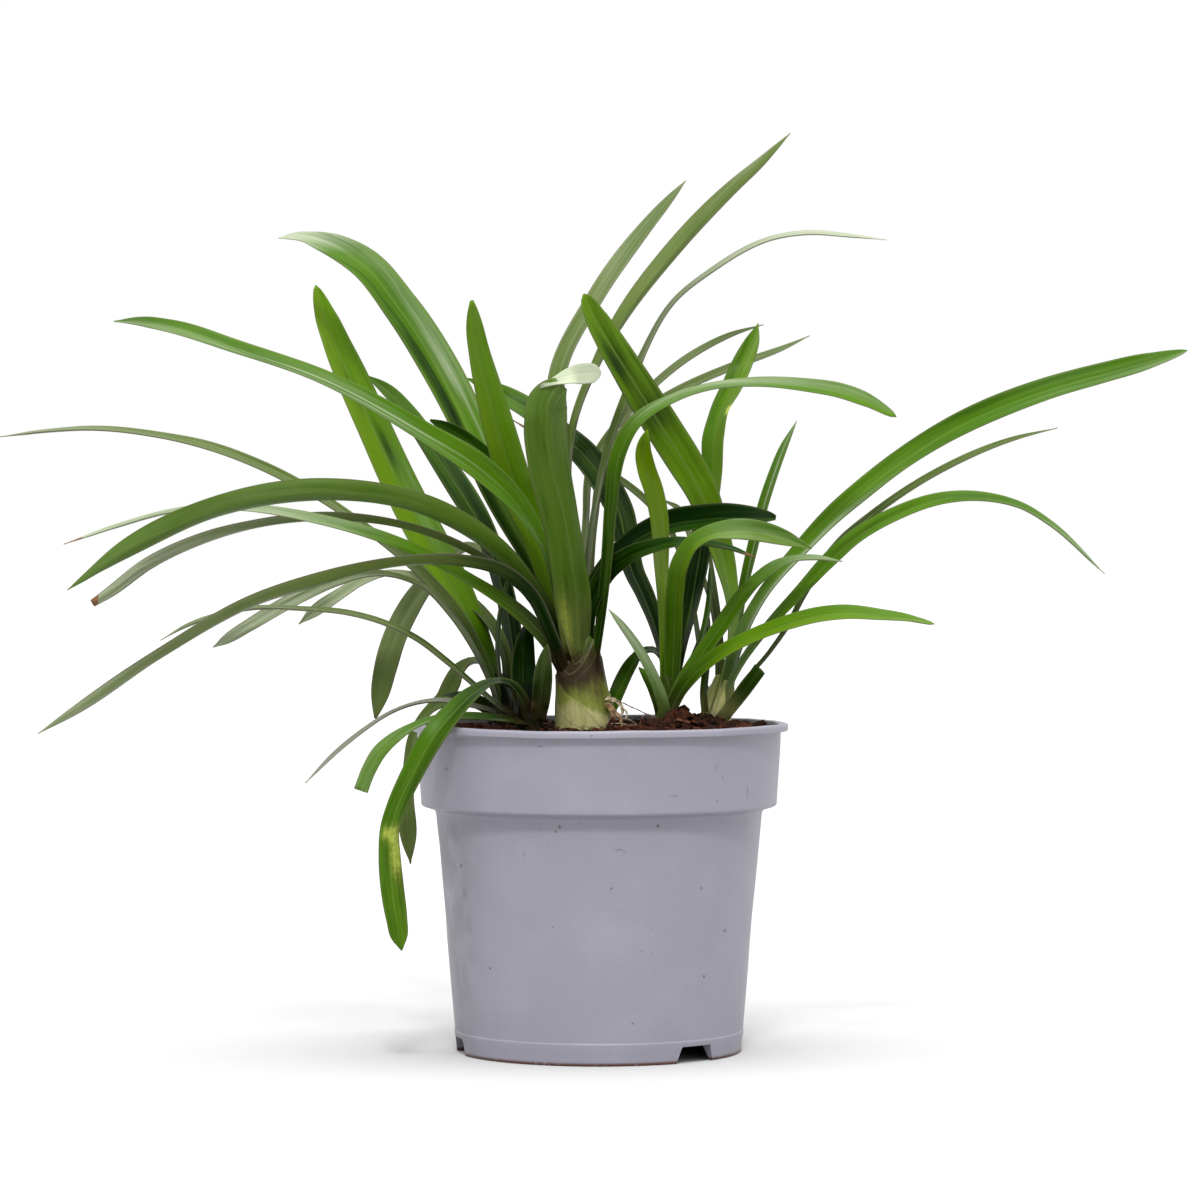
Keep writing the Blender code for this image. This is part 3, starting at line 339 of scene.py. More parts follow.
def arcBetween(start, end, middle, count):
    # A quarter-round corner between two points, bulging through the middle point
    s = np.linspace(0, 1, count)[:, None]
    start, end, middle = (np.array(value, float) for value in (start, end, middle))
    return ((1 - s) ** 2 * start + 2 * s * (1 - s) * middle + s * s * end).tolist()


def bodyRadius(height):
    # A straight taper from the foot up to the body's top
    share = height / pot["bodyTop"]
    return pot["footRadius"] + (pot["bodyTopRadius"] - pot["footRadius"]) * share


def collarRadius(height):
    # A straight taper from the collar's foot up to its top
    share = (height - pot["collarFoot"]) / (pot["height"] - pot["collarFoot"])
    return pot["collarFootRadius"] + (pot["collarTop"] - pot["collarFootRadius"]) * share


def potOutline():
    # Radius and height from the underside's middle, up the outside, over the lip and down the inside
    wall, top, lip = pot["wall"], pot["height"], pot["height"] - pot["lipHeight"]
    ledge, step, shoulder, collar = (pot[key] for key in ("ledge", "ledgeStep", "bodyTop", "collarFoot"))
    channel, inner, pad = (pot[key] for key in ("channelHeight", "channelInner", "padRadius"))
    foot, bodyEnd, collarEnd, edge, mouth = (pot[key] for key in (
        "footRadius", "bodyTopRadius", "collarFootRadius", "lipRadius", "collarTop"))
    floor = channel + wall
    line = [(0.01, 0), (12, 0), (pad, 0), (inner, channel), (45, channel), (pot["channelOuter"], channel)]
    line += [(foot - pot["footRing"], 0)]
    line += arcBetween((foot - 0.7, 0), (foot + 0.05, 0.7), (foot, 0), 4)
    line += [(bodyRadius(z), z) for z in (3, 6)]
    line += arcBetween((bodyRadius(ledge - 0.6) + step, ledge - 0.6),
                       (bodyRadius(ledge + 0.5), ledge + 0.5), (bodyRadius(ledge) + step, ledge), 4)
    line += [(bodyRadius(z), z) for z in np.linspace(16, shoulder - 2, 22)]
    line += arcBetween((bodyRadius(shoulder - 1), shoulder - 1), (bodyEnd + 1.9, shoulder + 1.8),
                       (bodyEnd + 0.1, shoulder + 1.4), 4)
    line += arcBetween((collarEnd - 1.5, collar - 2.1), (collarRadius(collar) + 0.02, collar - 0.4),
                       (collarEnd + 0.02, collar - 1.9), 6)
    line += [(collarRadius(collar + 1.5), collar + 1.5)]
    line += [(collarRadius(z), z) for z in np.linspace(collar + 4, lip - 2.5, 8)]
    line += arcBetween((collarRadius(lip - 1), lip - 1), (edge - 0.9, lip + 0.15),
                       (collarRadius(lip) + 0.2, lip), 4)
    line += arcBetween((edge - 0.5, lip + 0.2), (edge - 0.1, lip + 1.2), (edge - 0.02, lip + 0.3), 3)
    line += arcBetween((edge - 0.05, top - 1.2), (edge - 1.2, top - 0.02), (edge - 0.1, top - 0.05), 4)
    mouth = mouth - wall
    line += arcBetween((mouth + 0.7, top - 0.02), (mouth - 0.1, top - 1), (mouth, top - 0.1), 3)
    line += [(collarRadius(z) - wall, z) for z in (140, 130, 118)]
    line += [(collarEnd - wall - 0.6, collar + 0.4), (bodyRadius(shoulder) - wall, shoulder + 1.2)]
    line += [(bodyRadius(z) - wall, z) for z in (80, 45, floor)]
    line += [(45, floor), (inner - 0.8, floor), (pad - 0.8, wall), (12, wall), (0.01, wall)]
    return np.array(line, float)


def block(name, lower, upper, low, high, turn):
    # A block with one outline at its foot and one at its top, turned about the pot's axis
    angle = math.radians(turn)
    spin = np.array([[math.cos(angle), math.sin(angle)], [-math.sin(angle), math.cos(angle)]])
    count = len(lower)
    verts = np.c_[np.concatenate([lower, upper]) @ spin, np.repeat([low, high], count)] * mm
    faces = [tuple(reversed(range(count))), tuple(range(count, 2 * count))]
    faces += [(k, (k + 1) % count, count + (k + 1) % count, count + k) for k in range(count)]
    mesh = bpy.data.meshes.new(name)
    mesh.from_pydata(verts.tolist(), [], faces)
    return bpy.data.objects.new(name, mesh)


def cutAway(target, cutters):
    group = bpy.data.collections.new("cutters")
    bpy.context.scene.collection.children.link(group)
    for cutter in cutters:
        group.objects.link(cutter)
    change = target.modifiers.new("cut", "BOOLEAN")
    change.operation = "DIFFERENCE"
    change.operand_type = "COLLECTION"
    change.collection = group
    change.solver = "EXACT"
    view = bpy.context.evaluated_depsgraph_get()
    result = bpy.data.meshes.new_from_object(target.evaluated_get(view))
    target.modifiers.remove(change)
    target.data = result
    for cutter in cutters:
        bpy.data.objects.remove(cutter, do_unlink=True)
    bpy.data.collections.remove(group)


def squareOff(tree, value, middle, reach):
    # How many reaches the value lies from the middle, squared
    off = sums(tree, "DIVIDE", sums(tree, "SUBTRACT", value, middle * mm), reach * mm)
    return times(tree, off, off)


def plasticMaterial():
    material, tree, shader = newMaterial("satinPotPlastic", 0.42)
    spot = places(tree)
    x, y, z = parts(tree, spot)
    clouds = noise(tree, spot, 28, 5, 0.6)
    fine = noise(tree, spot, 900, 2)
    colour = washed(tree, pot["body"], pot["worn"], clouds, 0.42, 0.72, 0.45)
    colour = washed(tree, colour, pot["worn"], fine, 0.55, 0.75, 0.16)
    # Short upright scuffs, a few dark specks and small pits
    upright = joined(tree, times(tree, x, 260.0), times(tree, y, 260.0), times(tree, z, 34.0))
    colour = washed(tree, colour, pot["worn"], noise(tree, upright, 1.0, 4, 0.7), 0.66, 0.80, 0.35)
    specks = ranged(tree, cells(tree, spot, 130), 0.10, 0.05)
    rare = ranged(tree, noise(tree, spot, 37, 2), 0.60, 0.66)
    colour = mixed(tree, times(tree, specks, rare), colour, pot["grimeAndShade"])
    pits = ranged(tree, cells(tree, spot, 330), 0.16, 0.07)
    rare = ranged(tree, noise(tree, spot, 19, 2), 0.58, 0.68, (0.0, 0.7))
    colour = mixed(tree, times(tree, pits, rare), colour, pot["soilSmear"])
    # Dust along the lip's underside, soil crumbs at the foot
    lip = pot["height"] - pot["lipHeight"]
    shade = ranged(tree, z, (lip - 4.5) * mm, (lip - 0.3) * mm)
    below = ranged(tree, z, (lip + 0.5) * mm, (lip + 0.1) * mm)
    streak = ranged(tree, noise(tree, spot, 150, 4, 0.7), 0.45, 0.7, (0.0, 0.55))
    colour = mixed(tree, times(tree, shade, below, streak), colour, pot["dust"])
    foot = ranged(tree, z, 2.0 * mm, 0.7 * mm)
    crumbs = ranged(tree, noise(tree, spot, 420, 3, 0.7), 0.28, 0.42)
    colour = mixed(tree, times(tree, foot, crumbs), colour, pot["footSoil"])
    # Painted shade, mottled, low on the pot's left side, then the single grime marks, ragged at their
    # edges
    left = times(tree, ranged(tree, x, -48 * mm, -66 * mm), ranged(tree, z, 112 * mm, 100 * mm))
    cloud = ranged(tree, noise(tree, spot, 75, 4, 0.6), 0.3, 0.65, (0.04, 0.34))
    colour = mixed(tree, times(tree, left, cloud), colour, pot["grimeAndShade"])
    ragged = ranged(tree, noise(tree, spot, 1100, 3, 0.7), 0.2, 0.8, (-0.7, 0.7))
    front = ranged(tree, y, -5 * mm, -15 * mm)
    for across, up, wide, tall, strength in pot["marks"]:
        far = plus(tree, squareOff(tree, x, across, wide), squareOff(tree, z, up, tall), ragged)
        mark = ranged(tree, far, 0.8, 0.1, (0.0, strength))
        colour = mixed(tree, times(tree, mark, front), colour, pot["grimeAndShade"])
    # Soil dirt and painted shade on the inner wall above the soil; the inside is what lies nearer the
    # axis than the collar's own slanting wall
    radius = sums(tree, "POWER", plus(tree, times(tree, x, x), times(tree, y, y)), 0.5)
    slope = (pot["collarTop"] - pot["collarFootRadius"]) / (pot["height"] - pot["collarFoot"])
    lean = times(tree, sums(tree, "SUBTRACT", z, pot["height"] * mm), slope)
    level = sums(tree, "SUBTRACT", radius, lean)
    inside = ranged(tree, level, (pot["collarTop"] - 0.85) * mm, (pot["collarTop"] - 1.15) * mm)
    high = ranged(tree, z, 120 * mm, 121 * mm)
    colour = mixed(tree, times(tree, inside, high, 0.82), colour, pot["inside"])
    put(tree, shader.inputs["Roughness"], ranged(tree, clouds, 0.3, 0.75, (0.36, 0.52)))
    finished(tree, shader, colour, 0.35, plus(tree, times(tree, fine, 0.35), clouds), 0.00035, 0.5)
    return material


def makePot():
    # The outline turned about Z: x is the radius times the cosine, y the radius times the sine
    outline = potOutline()
    angle = around(pot["sides"])
    radius = outline[:, :1] + 0 * angle
    height = outline[:, 1:] + 0 * angle
    # The lip waves a little, held inside the rim's own size
    nearLip = smoothStep(pot["height"] - 12, pot["height"] - 1, height) * smoothStep(70, 80, radius)
    wave = sum(rise * np.sin(waves * angle + start) for waves, start, rise in pot["waves"])
    height = height - nearLip * (0.67 + wave) * 0.5
    radius = radius - nearLip * (0.5 + 0.5 * np.sin(4 * angle + 1.1)) * 0.35
    # Dents: the wall is pushed in by a bell shape about each place
    wall = smoothStep(0.5, 6, height) * (radius > 50)
    for facing, level, depth, wide, tall in pot["dents"]:
        middle = math.pi if facing < 0 else 0.0
        side = np.angle(np.exp(1j * (angle - middle))) * radius / wide
        radius = radius - wall * depth * np.exp(-side ** 2 - ((height - level) / tall) ** 2)
    rings = np.stack([radius * np.cos(angle), radius * np.sin(angle), height], -1) * mm
    piece = tubePiece("pot_shell", rings, {}, plasticMaterial())
    low, high = pot["footRadius"] - 7, pot["footRadius"] + 6
    foot, top = ([(low, -half), (high, -half), (high, half), (low, half)]
                 for half in (pot["notchFoot"] / 2, pot["notchTop"] / 2))
    cutters = [block("notch", foot, top, -1, pot["notchHeight"], turn) for turn in pot["notchTurns"]]
    ring, reach = around(24)[0], pot["drainRadius"]
    middle, floor = (pot["channelOuter"] + pot["channelInner"]) / 2, pot["channelHeight"]
    hole = np.c_[middle + reach * np.cos(ring), reach * np.sin(ring)]
    for k in range(pot["drains"]):
        turn = 360 * (k + 0.5) / pot["drains"]
        cutters.append(block("drain", hole, hole, floor - 2, floor + pot["wall"] + 2, turn))
    cutAway(piece, cutters)
    piece.data.shade_smooth()
    piece.data.set_sharp_from_angle(angle=math.radians(32))
    dress(piece, "pot_plastic", "pot")


makePot()
print("pot made")


# Soil and bark

soil = {"dark": (0.018, 0.012, 0.009), "light": (0.06, 0.038, 0.025)}
bark = {
    "dark": (0.012, 0.006, 0.004), "brown": (0.040, 0.013, 0.007), "red": (0.110, 0.029, 0.013),
    "pale": (0.26, 0.16, 0.09)}
# The bark lies in a shallow layer, swelling to a mound at the right of the middle
bed = {
    "foot": 142.8, "top": 146.2, "swell": 0.8, "moundRise": 5.5, "moundAt": (40, -14),
    "moundReach": 20, "edgeRadius": 81.2, "rings": 70, "turns": 240, "bumps": 0.35,
    "bumpSizes": (1.3, 2.3, 4.1), "bumpWays": 6, "tones": (0.25, 0.35)}
# Larger chips, in mm: across, back, up, length, width, thickness, turn, tilt, roll (degrees)
bigChips = [
    (33.5, -18.5, 152.4, 11, 11, 2.0, 8, -24, 66), (40, -20.5, 151.6, 14, 10, 2.2, -10, 38, 62),
    (37.5, -15.6, 154.6, 10, 9, 1.8, 14, 18, 74), (27, -25, 149.8, 15, 9, 2.2, -12, 8, 36),
    (46.5, -20, 149.6, 13, 7, 2.2, 15, -14, 38), (31, -28, 149.0, 12, 7, 2.2, 30, -8, 24),
    (54, -21, 149.6, 13, 6, 2.2, -20, 10, 42), (61, -17, 149.4, 12, 6, 2.2, 25, -12, 34),
    (48, -13, 151.2, 9, 7, 2, -25, 24, 58), (66, -20, 148.4, 12, 6, 2.2, 48, -12, 22),
    (72, -6, 148.6, 10, 5, 2.2, -8, -18, 28), (50, -31, 148.0, 13, 7, 2.4, 65, -10, 12),
    (5.2, -22.4, 149.6, 8.5, 3.4, 1.6, 8, -52, 70), (20, -30, 147.8, 14, 8, 3.4, -35, 8, -8),
    (14, -50, 146.8, 12, 7, 3, 12, 7, 8), (34, -48, 147.4, 15, 8, 3.4, -18, 8, -10),
    (58, -38, 147.4, 11, 6, 3, -50, -12, 12), (67, 6, 148, 10, 6, 3, -60, 16, 10),
    (42, 2, 150.4, 13, 8, 3.4, -28, 26, 12), (49, -4, 151.4, 9, 6, 2.6, 70, 34, -20),
    (67, 20, 147, 10, 6, 3, 80, 6, -12), (30, 22, 147.4, 12, 8, 3.2, 34, -10, 8),
    (12, 16, 146.8, 12, 7, 3, -12, 8, 10), (44, 36, 146.8, 13, 7, 3, 8, 8, -8),
    (-14, -38, 146.6, 12, 7, 3, 30, 6, -6), (-38, -46, 146.2, 11, 6, 3, -42, 5, 6),
    (-12, -60, 146.4, 11, 6, 3, 74, 5, 6), (-58, -30, 146, 10, 5, 2.8, 14, 4, 4),
    (-66, 16, 146, 9, 5, 2.8, -70, 4, 4), (-16, 24, 146.8, 12, 7, 3, 52, 6, 8),
    (-22, 52, 146.6, 12, 6, 3, -24, 5, 8), (14, 50, 146.6, 13, 7, 3, 22, 6, -8)]
# Smaller pieces scattered on the bed: width is a share of the length for chips and in mm for fibres
litter = {
    "bark_chips_small": {
        "count": 620, "chips": True, "length": (2.6, 10.5), "width": (0.35, 0.7),
        "thickness": (0.6, 1.5), "rise": (0.1, 1.5), "tilt": 17, "tones": (0.0, 1.0, 1.3)},
    "bark_fibres": {
        "count": 150, "chips": False, "length": (4, 11), "width": (0.35, 0.9),
        "thickness": (0.3, 0.7), "rise": (0.8, 2.0), "tilt": 11, "tones": (0.45, 0.55, 1)}}
# Where they lie, and every flake's outline: levels, and how wide it is at each
flake = {
    "reach": 79, "clear": 2.2, "heaped": 0.35, "heapReach": 17, "corners": 7,
    "levels": [(-0.5, 0.93), (-0.3, 1.0), (0.34, 0.97), (0.5, 0.86)]}


def soilMaterial():
    material, tree, shader = newMaterial("peatSoil", 0.95)
    grain = noise(tree, places(tree), 420, 6, 0.7)
    colour = washed(tree, soil["dark"], soil["light"], grain, 0.4, 0.7)
    finished(tree, shader, colour, 0.12, grain, 0.0012)
    return material


def barkMaterial():
    material, tree, shader = newMaterial("barkChips", 0.85)
    tone = attribute(tree, "tone", "Fac")
    grain = noise(tree, places(tree), 650, 5, 0.65)
    colour = washed(tree, bark["dark"], bark["brown"], tone, 0.0, 0.55)
    colour = washed(tree, colour, bark["red"], tone, 0.5, 0.95)
    colour = washed(tree, colour, bark["pale"], tone, 0.94, 1.0, 0.8)
    colour = mixed(tree, ranged(tree, grain, 0.36, 0.64, (0.8, 0.0)), colour, bark["dark"])
    put(tree, shader.inputs["Roughness"], ranged(tree, grain, 0.3, 0.7, (0.95, 0.75)))
    finished(tree, shader, colour, 0.06, grain, 0.0004)
    return material


def bedHeight(x, y):
    # Level, plus a slow swell of crossing sines, plus a bell-shaped mound
    swell = np.sin(x / 11 + 0.8) * np.sin(y / 9 - 0.4) + 0.5 * np.sin(x / 4.7) * np.sin(y / 5.3 + 1.0)
    far = np.hypot(x - bed["moundAt"][0], y - bed["moundAt"][1]) / bed["moundReach"]
    return bed["top"] + bed["swell"] * swell + bed["moundRise"] * np.exp(-far * far)


def makeBed(material):
    # A disc in rings, its top rippled by sines that run in random directions
    rng = np.random.default_rng(11)
    out = np.linspace(0.01, bed["edgeRadius"], bed["rings"])
    radius = np.concatenate([[0.01, 40, bed["edgeRadius"]], out[::-1]])[:, None]
    angle = around(bed["turns"])
    x, y = radius * np.cos(angle), radius * np.sin(angle)
    height = bedHeight(x, y)
    ways = bed["bumpWays"]
    for size in bed["bumpSizes"]:
        for turn in rng.uniform(0, 2 * math.pi, ways):
            along = x * math.cos(turn) + y * math.sin(turn)
            height += bed["bumps"] * size / ways * np.sin(along * 2.4 / size + turn * 7)
    height[:3] = bed["foot"]
    rings = np.stack([x, y, height], -1) * mm
    least, span = bed["tones"]
    tone = least + span * rng.random(height.shape)
    dress(tubePiece("bark_bed", rings, {"tone": tone}, material), "bark", "bark_mulch")


def aboutAxis(axis, angle):
    # A turn about X, Y or Z (0, 1 or 2), one matrix for each angle
    first, second = (axis + 1) % 3, (axis + 2) % 3
    matrix = np.zeros((len(angle), 3, 3))
    matrix[:, axis, axis] = 1
    matrix[:, first, first] = matrix[:, second, second] = np.cos(angle)
    matrix[:, second, first] = np.sin(angle)
    matrix[:, first, second] = -np.sin(angle)
    return matrix


def flakes(name, table, tones, material, rng):
    # Each flake: a jagged outline at four levels, narrower above and below, with its ends closed
    count, corners, levels = len(table), flake["corners"], len(flake["levels"])
    angle = around(corners) + rng.uniform(-0.25, 0.25, (count, corners))
    reach = rng.uniform(0.62, 1.0, (count, corners))
    square = np.maximum(np.abs(np.cos(angle)), np.abs(np.sin(angle)))
    flat = np.stack([np.cos(angle), np.sin(angle)], -1) * (reach / square ** 0.6)[..., None] * 0.5
    level, shrink = np.array(flake["levels"]).T
    rings = np.zeros((count, levels, corners, 3))
    rings[..., :2] = flat[:, None] * shrink[None, :, None, None]
    rings[..., 2] = level[None, :, None] + rng.uniform(-0.09, 0.09, (count, levels, corners))
    rings *= table[:, None, None, 3:6]
    # Rolled about X, then tilted about Y, then turned about Z
    turn, tilt, roll = np.radians(table[:, 6:9]).T
    spin = aboutAxis(2, turn) @ aboutAxis(1, tilt) @ aboutAxis(0, roll)
    rings = np.einsum("nij,nrcj->nrci", spin, rings) + table[:, None, None, :3]
    ends = np.stack([rings[:, 0].mean(1), rings[:, -1].mean(1)], 1)
    verts = np.concatenate([rings.reshape(count, -1, 3), ends], 1)
    each = verts.shape[1]
    shift = (np.arange(count) * each)[:, None, None]
    quads = (gridFaces(levels, corners)[None] + shift).reshape(-1, 4)
    triangles = (endFaces(levels, corners)[None] + shift).reshape(-1, 3)
    values = {"tone": np.repeat(tones, each)}
    piece = newPiece(name, verts.reshape(-1, 3) * mm, quads, triangles, values, material, False)
    dress(piece, "bark", "bark_mulch")


def scattered(count, rng):
    # Places over the bed that keep clear of the necks; more of them on the mound
    found = np.zeros((0, 2))
    while len(found) < count:
        angle = rng.uniform(0, 2 * math.pi, count)
        radius = flake["reach"] * np.sqrt(rng.random(count))
        spots = np.stack([radius * np.cos(angle), radius * np.sin(angle)], -1)
        heap = rng.random(count) < flake["heaped"]
        spots[heap] = np.array(bed["moundAt"]) + rng.normal(0, flake["heapReach"], (heap.sum(), 2))
        keep = np.hypot(*spots.T) < flake["reach"]
        for rings in necks.values():
            across, back, _, wide, deep = rings[1]
            reach = np.array([wide, deep]) + flake["clear"]
            keep &= np.hypot(*((spots - (across, back)) / reach).T) > 1
        found = np.concatenate([found, spots[keep]])
    return found[:count]


def makeBark():
    material = barkMaterial()
    makeBed(material)
    rng = np.random.default_rng(5)
    big = np.array(bigChips, float)
    flakes("bark_chips_large", big, rng.uniform(0.15, 0.75, len(big)), material, rng)
    for name, kind in litter.items():
        count = kind["count"]
        spots = scattered(count, rng)
        length = rng.uniform(*kind["length"], count)
        if kind["chips"]:
            length = length * rng.uniform(0.6, 1.0, count)
        width = rng.uniform(*kind["width"], count) * (length if kind["chips"] else 1)
        thickness = rng.uniform(*kind["thickness"], count)
        height = bedHeight(*spots.T) + rng.uniform(*kind["rise"], count)
        turn = rng.uniform(0, 360, count)
        lean = rng.normal(0, kind["tilt"], (count, 2))
        least, span, power = kind["tones"]
        tones = least + span * rng.random(count) ** power
        table = np.c_[spots, height, length, width, thickness, turn, lean]
        flakes(name, table, tones, material, rng)


# Necks, foot to top: across, back, up, half width, half depth
necks = {
    "shoot_center": [
        (-6, -8, 134, 10, 9.5), (-6, -8, 147, 12.2, 11.5), (-6.2, -8, 156, 12, 11.3),
        (-7.2, -8, 166, 10.8, 10.2), (-8.5, -8.5, 176, 10, 9.2), (-10, -9, 188, 9.6, 8.4),
        (-11.5, -9.5, 199, 8.6, 7), (-12.2, -10, 205, 5.5, 4.5)],
    "shoot_left": [
        (-41.5, 9, 134, 3.6, 4.6), (-42, 9, 150, 4.6, 5.4), (-44.5, 10, 162, 4.2, 4.8),
        (-47.5, 11, 172, 3, 3.6)],
    "shoot_left_back": [
        (-37, 29, 134, 4, 4.2), (-37, 29, 148, 5, 5), (-37.5, 30, 160, 4.4, 4.6),
        (-38.5, 31, 171, 3, 3.4)],
    "shoot_left_front": [
        (-31.5, -17, 134, 4.6, 4.6), (-31.5, -17, 149, 5.8, 5.6), (-32, -16.5, 160, 5, 5),
        (-33, -16, 168, 3.4, 3.4)],
    "shoot_right": [
        (31, -8, 134, 4.2, 4.6), (30.8, -8, 151, 5, 5.4), (31.5, -8, 163, 4.4, 4.8),
        (32.8, -8, 175, 3.6, 4), (33.4, -8, 182, 2.2, 2.6)],
    "shoot_far_right_back": [
        (51.5, 13, 134, 4.6, 4.6), (52, 13, 151, 5.4, 5.2), (54, 13.5, 161, 4.8, 4.6),
        (56.5, 14, 171, 3.2, 3.2)],
    "shoot_far_right_front": [
        (55, -2, 134, 3.8, 3.8), (55.3, -2, 150, 4.6, 4.6), (57, -2, 160, 3.8, 3.8),
        (59.5, -2, 169, 2.6, 2.8)]}
# Sheath edges on each neck: facing angle of the low point (degrees, -90 is the front), its height,
# rise of the edge to the left and to the right of it, power of the rise, thickness, and line: 1 pale,
# -1 dark
sheaths = {
    "shoot_center": [
        (-20, 146, 8.8, 4, 1.05, 0.55, 0.8), (-122, 172.3, 11.5, 9.1, 1.35, 0.5, 0.8),
        (-107, 176.7, 9, 8.5, 1.35, 0.4, 0.6), (-119, 180.4, 9, 9, 1.35, 0.4, 0.6),
        (-112, 169.2, 10, 9, 1.3, 0.3, 0.3), (-40, 143, 15.5, 10, 1.05, 0.12, -1),
        (-85, 146.2, 8.7, 6, 1.05, 0.1, -0.8), (-98, 159, 8, 12, 1.2, 0.15, 0.2),
        (70, 166, 10, 10, 1.3, 0.5, 0.5), (110, 174, 8, 8, 1.3, 0.5, 0.5),
        (60, 152, 9, 9, 1.1, 0.5, 0.5)],
    "shoot_left": [(-70, 153, 7, 7, 1.35, 0.4, 0.5), (110, 158, 7, 7, 1.35, 0.4, 0.5)],
    "shoot_left_back": [(-100, 154, 7, 7, 1.35, 0.4, 0.5), (80, 160, 7, 7, 1.35, 0.4, 0.5)],
    "shoot_left_front": [(-60, 152, 6, 7, 1.35, 0.4, 0.5), (140, 156, 7, 7, 1.35, 0.4, 0.5)],
    "shoot_right": [
        (-110, 155, 7, 7, 1.35, 0.4, 0.6), (60, 161, 7, 7, 1.35, 0.4, 0.6),
        (-60, 165, 6, 6, 1.35, 0.35, 0.6)],
    "shoot_far_right_back": [(-90, 154, 7, 7, 1.35, 0.4, 0.6), (120, 159, 6, 6, 1.35, 0.4, 0.6)],
    "shoot_far_right_front": [(-100, 153, 6, 6, 1.35, 0.35, 0.6), (80, 157, 6, 6, 1.35, 0.35, 0.6)]}
neckLook = {
    "rows": {"shoot_center": 250}, "turns": {"shoot_center": 150}, "plainRows": 120,
    "plainTurns": 80, "ribs": 0.07, "lip": 0.5, "line": 0.24, "armReach": 1.35,
    "wander": 0.35, "hollow": 2.6, "raise": 3.2,
    # Sheaths of the middle shoot with a form of their own, by their place in the list
    "forms": {("shoot_center", 0): "raised", ("shoot_center", 1): "hollow",
              ("shoot_center", 3): "inner"}}
# Colours, the heights where each takes over, and the height of the soil's line
neckColours = {
    "pale": (0.35, 0.33, 0.145), "tint": (0.155, 0.18, 0.030), "stain": (0.034, 0.023, 0.011),
    "green": (0.052, 0.085, 0.008), "vein": (0.15, 0.17, 0.04), "dirt": (0.035, 0.02, 0.012),
    "seam": (0.17, 0.145, 0.09), "crack": (0.03, 0.022, 0.01), "inner": (0.062, 0.056, 0.018),
    "tintFrom": 154, "stainFrom": 161, "stainFull": 175, "greenFrom": 180, "greenFull": 190,
    "soil": 147, "gloss": 0.1}
neckKinds = {
    "shoot_center": neckColours,
    # Painted shade: the left shoots' necks take a much darker copy of the colours, standing in for the
    # shade under the leaves
    "shoot_left": {
        **neckColours, "pale": (0.014, 0.010, 0.004), "tint": (0.006, 0.007, 0.002),
        "stain": (0.002, 0.004, 0.001), "vein": (0.014, 0.014, 0.005), "green": (0.006, 0.018, 0.001),
        "stainFrom": 152, "stainFull": 160, "greenFrom": 164, "greenFull": 178,
        "seam": (0.02, 0.02, 0.008), "gloss": 0.03},
    "shoot_right": {
        **neckColours, "pale": (0.09, 0.11, 0.025), "tint": (0.045, 0.065, 0.008),
        "stain": (0.028, 0.050, 0.003), "stainFrom": 156, "stainFull": 166, "greenFrom": 170,
        "greenFull": 182, "seam": (0.18, 0.20, 0.09)},
    # Painted light: the far right shoots' necks take a paler copy of the colours, lifting them where the
    # leaves shade them
    "shoot_far_right": {
        **neckColours, "pale": (0.58, 0.56, 0.29), "tint": (0.46, 0.46, 0.18),
        "stain": (0.29, 0.32, 0.095), "stainFrom": 160, "stainFull": 170, "greenFrom": 168,
        "greenFull": 182, "seam": (0.38, 0.39, 0.24)}}
neckKinds["shoot_left_back"] = neckKinds["shoot_left_front"] = neckKinds["shoot_left"]
neckKinds["shoot_far_right_back"] = neckKinds["shoot_far_right_front"] = neckKinds["shoot_far_right"]


def neckMaterial(name, look):
    material, tree, shader = newMaterial(name, 0.38)
    angle, level, inner = parts(tree, attribute(tree, "neckMap"))
    seam = attribute(tree, "neckSeam", "Fac")
    spot = places(tree)
    lengthwise = joined(tree, times(tree, angle, 5.0), times(tree, level, 0.035), 0.0)
    streaks = noise(tree, lengthwise, 1.0, 3, 0.55)
    blotch = noise(tree, spot, 80, 3, 0.55)
    mottle = noise(tree, spot, 420, 4, 0.65)
    height = plus(tree, level, swung(tree, blotch, 2.2), swung(tree, streaks, 1.6))
    colour = washed(tree, look["pale"], look["tint"], height, look["tintFrom"], look["stainFrom"])
    colour = washed(tree, colour, look["vein"], streaks, 0.42, 0.70, 0.35)
    colour = washed(tree, colour, look["stain"], height, look["stainFrom"], look["stainFull"])
    colour = washed(tree, colour, look["green"], height, look["greenFrom"], look["greenFull"])
    colour = mixed(tree, inner, colour, look["inner"])
    colour = washed(tree, colour, look["stain"], mottle, 0.50, 0.75, 0.25)
    low = ranged(tree, level, look["soil"] + 5, look["soil"] - 1)
    dirt = times(tree, low, ranged(tree, mottle, 0.45, 0.60), 0.8)
    colour = mixed(tree, dirt, colour, look["dirt"])
    colour = washed(tree, colour, look["seam"], seam, 0.0, 1.0, 0.75)
    colour = washed(tree, colour, look["crack"], seam, 0.0, -1.0, 0.8)
    grain = plus(tree, streaks, times(tree, mottle, 0.15))
    finished(tree, shader, colour, look["gloss"], grain, 0.0004, 0.4)
    return material


